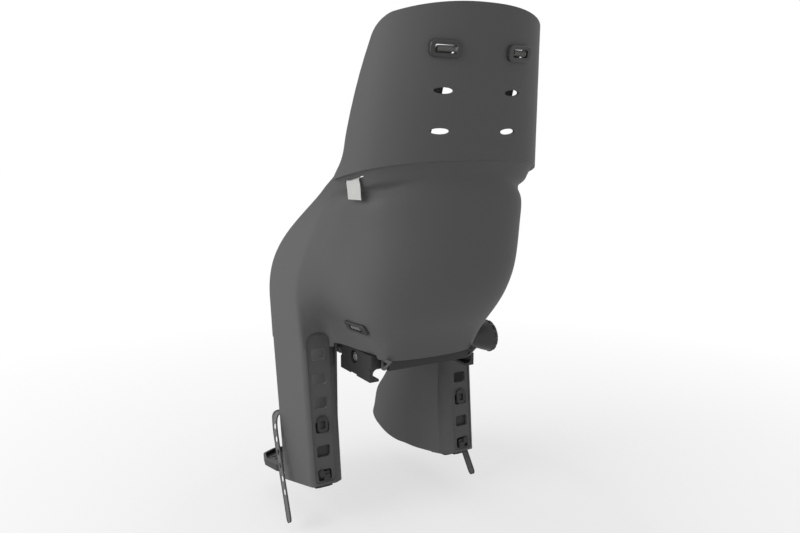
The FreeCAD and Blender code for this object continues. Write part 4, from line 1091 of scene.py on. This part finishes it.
@dataclass(frozen=True)
class Harness:
    """Shoulder, lap and crotch webbing, along the routes of their solids, in millimetres.

    Attributes:
        width: Width of the webbing.
        thick: Its thickness.
        hole_x: How far a shoulder opening lies from the middle.
        back_y: How far to the rear it lies.
        back_z: Its height.
        turn: How far the head part is turned away from the rear there, in radians.
        loop: Bend of the webbing through the shoulder opening: places outwards and up.
        side_hole: Middle of the lap opening.
        side_out: Direction out of it.
        side_up: Direction up along it.
        side_loop: Bend of the webbing through the lap opening: places outwards and up.
    """

    width: float = 25.0
    thick: float = 1.4
    hole_x: float = 60.5
    back_y: float = 192.33
    back_z: float = 466.5
    turn: float = math.radians(12.58)
    loop: tuple[tuple[float, float], ...] = (
        (-0.9, -3.0), (0.8, -3.6), (2.7, -3.0), (3.4, -0.6), (3.2, 2.2), (1.9, 4.0), (-0.2, 4.0),
        (-2.4, 2.8), (-4.8, 0.8), (-8.5, -3.4),
    )
    side_hole: Place = (113.55, 37.99, 67.53)
    side_out: Place = (0.8667, 0.1036, -0.4879)
    side_up: Place = (0.4845, 0.0581, 0.873)
    side_loop: tuple[tuple[float, float], ...] = (
        (-0.9, -2.4), (0.6, -2.9), (2.3, -2.2), (2.9, 0.0), (2.4, 2.0), (0.8, 3.0), (-1.2, 2.4),
        (-3.6, 1.0), (-8.0, 0.2),
    )

    def shoulder(self) -> Band:
        """From the upper retainer down the back to the left tongue.

        Returns:
            The left strap.
        """
        x, y, z = self.hole_x, self.back_y, self.back_z
        out, up = np.array([math.sin(self.turn), math.cos(self.turn), 0.0]), np.array([0.0, 0.165, 0.986])
        loop = [np.array([x, y + 1.4, z]) + out * n + up * v for n, v in self.loop]
        route = loop + [
            (x, y - 13, z - 14), (x, y - 18, z - 30),
            (x, 168, 410), (x * 0.99, 152, 380), (x * 0.96, 128, 345), (x * 0.86, 112, 310),
            (x * 0.66, 104, 270), (x * 0.42, 98, 238), (20, 93.4, 222), (18, 93.4, 214),
            (17.5, 93.4, 208), (17.5, 93.4, 203),
        ]
        shares = [1.0] * len(loop) + [0.7, 0.4, 0.15] + [0.0] * 9
        across = [(math.cos(self.turn * s), -math.sin(self.turn * s), 0.0) for s in shares]
        return Band(route, across, self.width, self.thick)

    def lap(self) -> Band:
        """From the opening in the bucket's side to the left tongue.

        Returns:
            The left strap.
        """
        place, out, up = (np.array(v) for v in (self.side_hole, self.side_out, self.side_up))
        loop = [place + out * n + up * v for n, v in self.side_loop]
        route = loop + [
            (91, 20, 80), (87, 16, 94), (80, 24, 112), (68, 52, 140), (56, 80, 168), (46, 96, 188),
            (38, 100.6, 199), (33, 100.6, 202), (27.5, 100.6, 203),
        ]
        across = [(-0.119, 0.993, 0.0)] * (len(loop) + 1) + [
            (-0.5, 0.9, 0), (-0.6, 0.8, 0.1), (-0.7, 0.4, 0.4), (-0.7, 0.2, 0.5),
            (-0.6, 0, 0.7), (-0.4, 0, 0.9), (-0.2, 0, 1), (0, 0, 1),
        ]
        return Band(route, across, self.width, self.thick)

    def crotch(self) -> Band:
        """From the pan up to the buckle.

        Returns:
            The strap.
        """
        route = [
            (0, -52, 52), (0, -52, 60), (0, -52, 70), (0, -51, 84), (0, -40, 102), (0, -4, 116), (0, 44, 122),
            (0, 74, 122), (0, 90, 125), (0, 97, 132), (0, 97, 137), (0, 97, 142), (0, 97, 147),
        ]
        return Band(route, [(1, 0, 0)] * len(route), self.width, self.thick)

    def build(self) -> None:
        """Makes the five straps."""
        for kind, band, held_by in (
            ("shoulder", self.shoulder(), "shoulder_retainer"),
            ("lap", self.lap(), "lap_retainer"),
        ):
            left, length = band.piece(kind + "_webbing_left")
            right = mirrored_copy(left, kind + "_webbing_right")
            for piece, side in ((left, "left"), (right, "right")):
                settle(piece, WEBBING, [f"{kind}_strap_{side}"])
                self.width * MM
        piece, length = self.crotch().piece("crotch_webbing")
        settle(piece, WEBBING, ["crotch_strap"])
        self.width * MM


@dataclass(frozen=True)
class FootStraps:
    """Rubber straps over the toes: a thin web with oval holes between two thick edges.

    Attributes:
        holes: Middles of the holes along the strap, in millimetres.
        hole_half: Half length and half width of a hole.
        cell: Length of the stretch that a hole takes up.
        half: Half width of the strap.
        web: Thickness of its web.
        thick: Thickness of its edges.
        edge: Width of an edge.
        edge_inset: How far an edge's middle lies inside the strap's half width.
        end: Length of its rounded end.
        splits: Faces across the web.
    """

    holes: tuple[float, ...] = (157.0, 179.3, 201.6, 223.9, 246.2, 268.5)
    hole_half: tuple[float, float] = (5.3, 4.7)
    cell: float = 20.0
    half: float = 9.5
    web: float = 1.2
    thick: float = 2.6
    edge: float = 2.4
    edge_inset: float = 1.1
    end: float = 8.0
    splits: int = 6

    def band(self) -> Band:
        """The left strap's route, from the cleat over the toes to its tail outside the guard.

        Returns:
            The strap as a plain band.
        """
        route = [
            (112, -130, -217), (112, -136, -197), (113, -146, -171), (121, -156, -147), (136, -163, -131),
            (155, -167, -122), (167, -163, -121), (174, -157, -126), (178, -148, -139), (179.5, -138, -157),
            (181, -124, -184), (182.5, -108, -214), (184.5, -89, -246), (187, -69, -280),
        ]
        across = [(0, 1, 0)] * 5 + [(0.1, 1, 0)] * 3 + [(0, 1, 0.2), (0, 1, 0.3)] + [(0, 1, 0.4)] * 4
        return Band(route, across, self.half * 2, self.thick)

    def plain(self, start: float, stop: float) -> tuple[Array, Array]:
        """A stretch without holes, on the flat.

        Args:
            start: Where it starts along the strap, in millimetres.
            stop: Where it stops.

        Returns:
            Its points and faces.
        """
        steps = max(2, round((stop - start) / 3.0))
        places = np.linspace(start, stop, steps + 1)
        widths = np.linspace(-self.half, self.half, self.splits + 1)
        corners = np.stack(np.meshgrid(places, widths, indexing="ij"), axis=-1)
        return corners.reshape(-1, 2), grid_faces(steps + 1, self.splits + 1)

    def holed(self, middle: float) -> tuple[Array, Array]:
        """A rectangle with an oval hole, as rings that turn from one shape to the other.

        Args:
            middle: Where the hole is along the strap, in millimetres.

        Returns:
            Its points and faces.
        """
        side = np.linspace(-1, 1, self.splits + 1)[:-1]
        ones = np.ones(self.splits)
        pairs = ((side, -ones), (ones, side), (-side, ones), (-ones, -side))
        outer = np.concatenate([np.stack(pair, axis=1) for pair in pairs])
        angle = np.arctan2(outer[:, 1], outer[:, 0])
        hole = np.stack([np.cos(angle), np.sin(angle)], axis=1) * self.hole_half
        edge = outer * (self.cell / 2, self.half)
        rings = np.stack([edge + (hole - edge) * share for share in (0.0, 0.35, 0.7, 1.0)])
        return (rings + (middle, 0.0)).reshape(-1, 2), grid_faces(4, len(outer), wrap_columns=True)

    def flat(self, length: float) -> tuple[Array, list[list[int]]]:
        """The whole strap on the flat: its points and faces.

        Args:
            length: Its length in millimetres.

        Returns:
            Its points and faces.
        """
        parts, place = [], 0.0
        for middle in self.holes:
            parts.append(self.plain(place, middle - self.cell / 2))
            parts.append(self.holed(middle))
            place = middle + self.cell / 2
        parts.append(self.plain(place, length))
        points, faces, count = [], [], 0
        for corners, quads in parts:
            points.append(corners)
            faces += (quads + count).tolist()
            count += len(corners)
        return np.concatenate(points), faces

    def narrowing(self, place: Array, length: float) -> Array:
        """Share of its full width that the strap has: a quarter of an ellipse rounds its end.

        Args:
            place: Places along the strap, in millimetres.
            length: The strap's length.

        Returns:
            One share per place.
        """
        into_end = np.clip((place - length + self.end) / (self.end + 1.0), 0, 1)
        return np.sqrt(1 - into_end**2)

    def build(self) -> None:
        """Makes both straps and their edges."""
        centre, side, normal, run = self.band().frames(600)
        length = float(run[-1]) / MM
        flat, faces = self.flat(length)
        flat[:, 1] *= self.narrowing(flat[:, 0], length)
        middle, across = (read_off(flat[:, 0] * MM, run, axis) for axis in (centre, side))
        left = new_piece("foot_strap_web_left", middle + across * flat[:, 1:] * MM, faces)
        set_uv(left, flat * MM)
        set_outwards(left)
        reach = side * ((self.half - self.edge_inset) * self.narrowing(run / MM, length) * MM)[:, None]
        section = flat_oval(self.edge * MM, self.thick * MM, 14, 3.0)
        edges = [
            swept(f"foot_strap_edge_{word}_left", centre + reach * sign, side, normal, section)
            for word, sign in (("fore", -1), ("rear", 1))
        ]
        for word in ("left", "right"):
            web, rims = left, edges
            if word == "right":
                web = mirrored_copy(left, "foot_strap_web_right")
                rims = [mirrored_copy(e, e.name.replace("left", "right")) for e in edges]
            body = web.modifiers.new("body", "SOLIDIFY")
            body.thickness, body.offset = self.web * MM, 0.0
            rounded = web.modifiers.new("rounded", "BEVEL")
            rounded.width, rounded.segments, rounded.limit_method = 0.3 * MM, 2, "ANGLE"
            settle(web, STRAP_RUBBER, [f"foot_strap_{word}"])
            for rim in rims:
                settle(rim, STRAP_EDGE)


def search_tree(mesh: bpy.types.Mesh) -> BVHTree:
    """A mesh's faces, in which near places and hits are looked for."""
    return BVHTree.FromPolygons([v.co for v in mesh.vertices], [p.vertices for p in mesh.polygons])


def tube(name: str, path: Array, radius: float, closed: bool) -> bpy.types.Object:
    """A thin round cord along a path, as a mesh: a circle square to the path at each point.

    Args:
        name: The piece's name.
        path: The path's points.
        radius: The cord's radius in metres.
        closed: Whether the path's end joins its start.

    Returns:
        The cord.
    """
    if closed:
        along = unit(np.roll(path, -1, axis=0) - np.roll(path, 1, axis=0))
    else:
        along = unit(np.gradient(path, axis=0))
    guide = np.where(np.abs(along[:, 1:2]) > 0.9, (1.0, 0.0, 0.0), (0.0, 1.0, 0.0))
    side = unit(np.cross(along, guide))
    normal = np.cross(along, side)
    a = np.linspace(0, 2 * math.pi, 10, endpoint=False)
    ring = side[:, None] * np.cos(a)[:, None] + normal[:, None] * np.sin(a)[:, None]
    rows, columns = len(path), len(a)
    faces = grid_faces(rows, columns, wrap_rows=closed, wrap_columns=True).tolist()
    if not closed:
        faces += end_caps(rows, columns)
    piece = new_piece(name, path[:, None] + ring * radius, faces)
    uv = np.broadcast_arrays(np.arange(rows)[:, None] * 2.0 * MM, a * radius)
    set_uv(piece, np.stack(uv, axis=-1).reshape(-1, 2))
    set_outwards(piece)
    return piece


@dataclass(frozen=True)
class Stitch:
    """One short thread, half sunk into the cloth, and how closely such threads follow.

    Attributes:
        pitch: Distance between two stitches in metres.
        length: Length of a stitch.
        radius: Its radius.
        shape: Its outline: places along it and shares of the radius there.
        sides: Points round it.
    """

    pitch: float = 4.0 * MM
    length: float = 2.6 * MM
    radius: float = 0.32 * MM
    shape: tuple[tuple[float, float], ...] = (
        (-0.5, 0.15), (-0.3, 0.85), (0.0, 1.0), (0.3, 0.85), (0.5, 0.15),
    )
    sides: int = 6

    def points(self, path: Array, normals: Array) -> list[Array]:
        """Corners of every stitch along one path.

        Args:
            path: The path's points.
            normals: The cloth's normals there.

        Returns:
            One array of corners per stitch.
        """
        shape = np.array(self.shape)
        a = np.linspace(0, 2 * math.pi, self.sides, endpoint=False)
        run = distances(path)
        made = []
        for goal in np.arange(self.pitch, run[-1] - self.pitch / 2, self.pitch):
            near = min(int(np.searchsorted(run, goal)), len(path) - 2)
            middle = path[near] + (path[near + 1] - path[near]) * 0.5
            along = unit(path[near + 1] - path[near - 1])
            up = unit(normals[near] - along * (normals[near] @ along))
            ring = up * np.sin(a)[:, None] + np.cross(along, up) * np.cos(a)[:, None]
            lengthwise = along * (shape[:, :1, None] * self.length)
            stitch = middle + lengthwise + ring * (shape[:, 1:, None] * self.radius)
            made.append(stitch.reshape(-1, 3))
        return made

    def faces(self) -> list[list[int]]:
        """Faces of one stitch: its sides and its two ends.

        Returns:
            The faces, by the stitch's corners.
        """
        rows = len(self.shape)
        ends = np.arange(rows * self.sides).reshape(rows, self.sides)[[0, -1]]
        return grid_faces(rows, self.sides, wrap_columns=True).tolist() + ends.tolist()


def stitches(name: str, rows: Sequence[tuple[Array, Array]]) -> bpy.types.Object:
    """Rows of stitches along paths.

    Args:
        name: The piece's name.
        rows: For each row its path and the cloth's normals there.

    Returns:
        All the stitches as one piece.
    """
    stitch = Stitch()
    points = [corners for path, normals in rows for corners in stitch.points(path, normals)]
    faces = [
        [corner + count * len(points[0]) for corner in face]
        for count in range(len(points))
        for face in stitch.faces()
    ]
    piece = new_piece(name, np.concatenate(points), faces)
    set_outwards(piece)
    return piece


@dataclass(frozen=True)
class HarnessPads:
    """Padded sleeves round the shoulder straps, crowned, with two sewn lines and piped edges.

    Attributes:
        width: Width of a sleeve in millimetres.
        thick: Its thickness.
        slot: Half width and half thickness of its slot for the strap.
        seam_inset: How far the sewn lines lie from its edges.
        skin: How far its cover lies below its full thickness.
        rows: Sections along its outside.
        slot_rows: Sections along its slot.
        columns: Points round a section.
    """

    width: float = 41.0
    thick: float = 10.0
    slot: tuple[float, float] = (13.3, 1.15)
    seam_inset: float = 5.0
    skin: float = 0.2
    rows: int = 72
    slot_rows: int = 20
    columns: int = 56

    def band(self) -> Band:
        """The left sleeve's route along its strap.

        Returns:
            The sleeve as a plain band.
        """
        x = Harness.hole_x
        route = [
            (x * 0.57, 102.5, 257), (x * 0.72, 106, 281), (x * 0.86, 112, 310), (x * 0.945, 122, 335),
            (x * 0.965, 133, 352),
        ]
        return Band(route, [(1, 0, 0)] * 5, self.width, self.thick)

    def outline(self, u: Array) -> tuple[Array, Array, Array]:
        """The sleeve's section along its length; its ends close on the strap.

        Args:
            u: Places along the sleeve, from 0 to 1.

        Returns:
            Half width, half thickness and the superellipse's power.
        """
        off = np.abs(2 * u - 1)
        wide = (1 - off**9) ** 0.5
        high = (1 - off**7) ** 0.5
        half = self.slot[0] + (self.width / 2 - self.slot[0]) * wide
        rise = self.slot[1] + (self.thick / 2 - self.skin - self.slot[1]) * high
        return half, rise, 6.0 - 3.2 * high

    def ring(self, u: Array, angle: Array) -> Array:
        """Places round the sleeve: a superellipse, drawn in along the sewn lines, with puckers there.

        Args:
            u: Places along the sleeve, from 0 to 1.
            angle: Angles round its section.

        Returns:
            Places across and through, in millimetres.
        """
        half, rise, power = (value[:, None] for value in self.outline(u))
        x, z = superellipse(angle, power)
        x, z = x * half, z * rise
        off_seam = np.abs(x) - half + self.seam_inset
        seam = np.exp(-(off_seam**2))
        waves = np.sin(u[:, None] * 140.0 + np.cos(angle) * 3.0)
        puckers = 0.12 * waves * np.exp(-((off_seam / 3.0) ** 2))
        drawn_in = z * (1 - 0.16 * seam)
        return np.stack([x, drawn_in + np.sign(z) * puckers * np.abs(np.sin(angle))], axis=-1)

    def build(self) -> None:
        """Makes both sleeves with their piping and stitches."""
        centre, side, normal, run = self.band().frames(400)
        u = np.linspace(0.0, 1.0, self.rows)
        u = 0.5 - 0.5 * np.cos(u * math.pi) * (1 - 0.25 * np.sin(u * math.pi) ** 2)
        angle = np.linspace(0, 2 * math.pi, self.columns, endpoint=False)

        def lifted(where: Array, flat: Array) -> Array:
            """Section places in space.

            Args:
                where: Shares of the sleeve's length.
                flat: Places across and through there.

            Returns:
                The places.
            """
            base, across, up = (read_off(where * run[-1], run, axis) for axis in (centre, side, normal))
            return base[:, None] + across[:, None] * flat[..., :1] * MM + up[:, None] * flat[..., 1:] * MM

        outer = lifted(u, self.ring(u, angle))
        slot = flat_oval(2 * self.slot[0], 2 * self.slot[1], self.columns, 6.0)
        points = np.concatenate([outer, lifted(np.linspace(0.985, 0.015, self.slot_rows), slot)])
        left = new_piece("harness_sleeve_left", points, grid_faces(len(points), self.columns, True, True))
        set_outwards(left)
        reach = np.linspace(0.03, 0.97, 120)
        half = self.outline(reach)[0]
        pipes, rows = [], []
        for word, sign in (("inner", -1), ("outer", 1)):
            edge = lifted(reach, np.stack([sign * (half + 0.2), 0 * half], axis=1)[:, None])[:, 0]
            pipes.append(tube(f"harness_piping_{word}_left", edge, 1.1 * MM, closed=False))
            for turn in (1, -1):
                seam = self.ring(reach, np.array([math.acos(sign * 0.72) * turn]))
                up = read_off(reach * run[-1], run, normal) * turn
                rows.append((lifted(reach, seam)[:, 0][12:-12], up[12:-12]))
        threads = stitches("harness_stitches_left", rows)
        for word in ("left", "right"):
            made = [left, *pipes, threads]
            if word == "right":
                made = [mirrored_copy(p, p.name.replace("left", "right")) for p in made]
            settle(made[0], PAD_CLOTH, [f"harness_pad_{word}"])
            for pipe in made[1:-1]:
                settle(pipe, PIPING_CLOTH)
            settle(made[-1], THREAD)


@dataclass(frozen=True)
class Line:
    """A sewn line on a cushion, straight in the cushion's own plane, in millimetres."""

    start: tuple[float, float]
    end: tuple[float, float]

    def distance(self, a: Array, b: Array) -> Array:
        """Distance of places from the line.

        Args:
            a: The places' first numbers.
            b: Their second numbers.

        Returns:
            One distance per place.
        """
        p, q = np.array(self.start), np.array(self.end)
        d = q - p
        share = np.clip(((a - p[0]) * d[0] + (b - p[1]) * d[1]) / (d @ d), 0, 1)
        return np.hypot(a - p[0] - share * d[0], b - p[1] - share * d[1])

    def places(self) -> Array:
        """Places along the line every millimetre.

        Returns:
            One row per place.
        """
        p, q = np.array(self.start), np.array(self.end)
        return p + (q - p) * np.linspace(0, 1, max(8, int(np.linalg.norm(q - p))))[:, None]


@dataclass(frozen=True)
class Cushion:
    """A stuffed cover that a cloth simulation swells from a smaller copy of its solid.

    Attributes:
        node: The solid.
        name: The piece's name.
        plane: Which two axes its face spreads along.
        facing: Direction that its face looks to.
        centre: Middle of its face in that plane, in millimetres.
        lines: Its sewn lines.
        voxel: Size of a remeshed face in millimetres.
        shrink: How much smaller than its solid the cover starts.
        cap: How far it swells at most.
        depth: How far its sewn lines draw it in.
        pressure: Pressure that swells it.
        frames: How long it swells.
        seam: Width of the groove along a sewn line.
        dip: Width of the soft dip round the groove.
        crease: Width of the creased stretch round it.
        rays: Directions in which its rim is looked for.
    """

    node: str
    name: str
    plane: tuple[int, int]
    facing: Place
    centre: tuple[float, float]
    lines: tuple[Line, ...]
    voxel: float = 4.5
    shrink: float = 3.0
    cap: float = 4.5
    depth: float = 3.4
    pressure: float = 4.0
    frames: int = 20
    seam: float = 2.4
    dip: float = 8.0
    crease: float = 7.0
    rays: int = 180
    def remeshed(self) -> bpy.types.Object:
        """An even mesh of the solid, a little smaller.

        Returns:
            The piece.
        """
        piece = linked(self.name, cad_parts[self.node].data.copy())
        even = piece.modifiers.new("even", "REMESH")
        even.mode, even.voxel_size = "VOXEL", self.voxel * MM
        bake(piece)
        relax(piece.data, 2)
        smaller = vertices(piece.data) - vertices(piece.data, "normal") * self.shrink * MM
        place_vertices(piece.data, smaller)
        return piece

    def swell(self, piece: bpy.types.Object) -> None:
        """Blows the cover up with cloth, each vertex moving no further than the cap.

        Args:
            piece: The cushion.
        """
        before = vertices(piece.data)
        cloth = piece.modifiers.new("swell", "CLOTH")
        cloth.settings.quality = 5
        cloth.settings.mass = 0.3
        cloth.settings.bending_stiffness = 0.5
        cloth.settings.use_pressure = True
        cloth.settings.uniform_pressure_force = self.pressure
        cloth.settings.effector_weights.gravity = 0.0
        cloth.point_cache.frame_start, cloth.point_cache.frame_end = 1, self.frames
        for step in range(1, self.frames + 1):
            bpy.context.scene.frame_set(step)
        bake(piece)
        moved = vertices(piece.data) - before
        far = np.linalg.norm(moved, axis=1, keepdims=True)
        kept = np.minimum(1.0, self.cap * MM / np.maximum(far, 1e-9))
        place_vertices(piece.data, before + moved * kept)
        bpy.context.scene.frame_set(1)

    def hold_in(self, piece: bpy.types.Object) -> None:
        """Keeps the cover within its solid.

        Args:
            piece: The cushion.
        """
        tree = search_tree(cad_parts[self.node].data)
        points = vertices(piece.data)
        for i, point in enumerate(points):
            near, normal, _, _ = tree.find_nearest(Vector(point))
            over = (Vector(point) - near).dot(normal)
            if over > 0:
                points[i] = np.array(near - normal * 0.1 * MM)
        place_vertices(piece.data, points)

    def sew(self, piece: bpy.types.Object) -> None:
        """Draws the face in along its sewn lines, with soft tufts between them.

        Args:
            piece: The cushion.
        """
        points, normals = vertices(piece.data), vertices(piece.data, "normal")
        front = np.clip((normals @ np.array(self.facing) - 0.35) / 0.3, 0, 1)
        a, b = (points[:, i] / MM for i in self.plane)
        near = np.min([line.distance(a, b) for line in self.lines], axis=0)
        sunk = np.exp(-((near / self.seam) ** 2)) + 0.35 * np.exp(-((near / self.dip) ** 2))
        waves = 0.22 * np.sin(a * 0.9 + b * 0.35) * np.sin(b * 0.8 - a * 0.2)
        creases = waves * np.exp(-((near / self.crease) ** 2))
        drawn = normals * ((sunk * self.depth + creases) * front * MM)[:, None]
        place_vertices(piece.data, points - drawn)

    def drop(self, tree: BVHTree, places: Array, lift: float) -> tuple[Array, Array]:
        """Places of the plane dropped onto the face; misses are left out.

        Args:
            tree: The cushion's faces.
            places: Places in the cushion's plane, in millimetres.
            lift: How far above the face they end, in metres.

        Returns:
            The places in space, and the face's normals there.
        """
        facing = Vector(self.facing)
        found, normals = [], []
        for a, b in places * MM:
            start = Vector((0.0, 0.0, 0.0))
            start[self.plane[0]], start[self.plane[1]] = a, b
            hit, normal, _, _ = tree.ray_cast(start + facing * 0.6, -facing)
            if hit is not None and normal.dot(facing) > 0.05:
                found.append(np.array(hit + normal * lift))
                normals.append(np.array(normal))
        return np.array(found), np.array(normals)

    def rim(self, piece: bpy.types.Object, inset: float) -> Array:
        """The face's edge as seen along its direction: the furthest point in each direction, eased.

        Args:
            piece: The cushion.
            inset: How far the edge is drawn in, in millimetres.

        Returns:
            Places in the cushion's plane, in millimetres.
        """
        points = vertices(piece.data)[:, list(self.plane)] / MM - self.centre
        share = (np.arctan2(points[:, 1], points[:, 0]) / (2 * math.pi)) % 1
        reach = np.zeros(self.rays)
        np.maximum.at(reach, (share * self.rays).astype(int) % self.rays, np.linalg.norm(points, axis=1))
        reach = np.where(reach > 0, reach, np.maximum(np.roll(reach, 1), np.roll(reach, -1)))
        angle = (np.arange(self.rays) + 0.5) / self.rays * 2 * math.pi
        outwards = np.stack([np.cos(angle), np.sin(angle)], axis=1)
        return outwards * (eased(reach, 3) - inset)[:, None] + self.centre

    def build(self) -> None:
        """Makes the cushion, its piping and its stitches."""
        piece = self.remeshed()
        self.swell(piece)
        relax(piece.data, 3)
        self.hold_in(piece)
        finer = piece.modifiers.new("finer", "SUBSURF")
        finer.levels = finer.render_levels = 1
        bake(piece)
        self.sew(piece)
        piece.data.polygons.foreach_set("use_smooth", np.full(len(piece.data.polygons), True))
        settle(piece, CUSHION_CLOTH, [self.node])
        tree = search_tree(piece.data)
        edge, _ = self.drop(tree, self.rim(piece, 4.0), 0.3 * MM)
        piping = tube(self.node + "_piping", eased(edge, 4), 1.5 * MM, closed=True)
        settle(piping, PIPING_CLOTH)
        sewn = [*(line.places() for line in self.lines), self.rim(piece, 8.0)]
        threads = stitches(self.node + "_stitches", [self.drop(tree, row, 0.1 * MM) for row in sewn])
        settle(threads, THREAD)


BACK_CUSHION = Cushion(
    "back_cushion", "back_pad", (0, 2), (0.0, -1.0, 0.0), (0.0, 208.0),
    (
        Line((-58.0, 108.0), (-66.0, 306.0)), Line((58.0, 108.0), (66.0, 306.0)),
        Line((-58.0, 150.0), (58.0, 150.0)), Line((-61.0, 203.0), (61.0, 203.0)),
        Line((-64.0, 256.0), (64.0, 256.0)),
    ),
)
SEAT_CUSHION = Cushion(
    "seat_cushion", "seat_pad", (0, 1), (0.0, 0.0, 1.0), (0.0, -44.0),
    (
        Line((-56.0, -138.0), (-46.0, 50.0)), Line((56.0, -138.0), (46.0, 50.0)),
        Line((-55.0, -98.0), (55.0, -98.0)), Line((-50.0, 6.0), (50.0, 6.0)),
    ),
)


@dataclass(frozen=True)
class SideTag:
    """The blank folded tape that hangs out of the slit in the left wing, in millimetres.

    Attributes:
        slit: Middle of the slit.
        out: Direction out of it.
        down: Direction down along the wing.
        across: Direction of the tape's width.
        bends: The tape's route: places outwards and down.
        sideways: How far each of those places lies across.
        width: Width of the tape.
        thick: Its thickness.
        hem: How far its stitches lie from its middle.
    """

    slit: Place = (152.12, 107.86, 295.61)
    out: Place = (0.759, 0.492, -0.426)
    down: Place = (-0.504, 0.031, -0.863)
    across: Place = (0.411, -0.870, -0.271)
    bends: tuple[tuple[float, float], ...] = (
        (-4, 0), (-1, 0), (1.2, 0), (2.7, 0.1), (3.4, 0.9), (3.6, 2.6), (4.6, 8), (6.4, 15),
        (8.4, 21.5), (9.6, 25.2),
    )
    sideways: tuple[float, ...] = (0, 0, 0, 0, 0.2, 0.8, 2.6, 5.0, 7.2, 8.4)
    width: float = 22.0
    thick: float = 0.7
    hem: float = 9.2

    def build(self) -> None:
        """Makes the tape with its hem's stitches."""
        base, out, down, along = (np.array(v) for v in (self.slit, self.out, self.down, self.across))
        places = zip(self.bends, self.sideways)
        route = [base + out * a + down * b + along * c for (a, b), c in places]
        band = Band(route, [self.across] * len(route), self.width, self.thick)
        piece, length = band.piece("tag_tape", 70)
        settle(piece, TAG_CLOTH, ["side_tag"])
        self.width * MM
        centre, side, normal, _ = band.frames(300)
        lift = normal * (self.thick / 2) * MM
        rows = [
            ((centre + side * reach * MM + lift)[110:285], normal[110:285])
            for reach in (-self.hem, self.hem)
        ]
        reach = np.linspace(-self.hem, self.hem, 40)[:, None]
        hem = centre[280] + side[280] * reach * MM + lift[280]
        rows.append((hem, np.repeat(normal[280:281], len(reach), axis=0)))
        settle(stitches("tag_stitches", rows), TAG_THREAD)


def main() -> None:
    """Builds the studio and every piece in order."""
    logging.basicConfig(level=logging.INFO)
    Studio().build()
    SolidDress().build()
    Harness().build()
    FootStraps().build()
    HarnessPads().build()
    BACK_CUSHION.build()
    SEAT_CUSHION.build()
    SideTag().build()


if __name__ == "__main__":
    main()
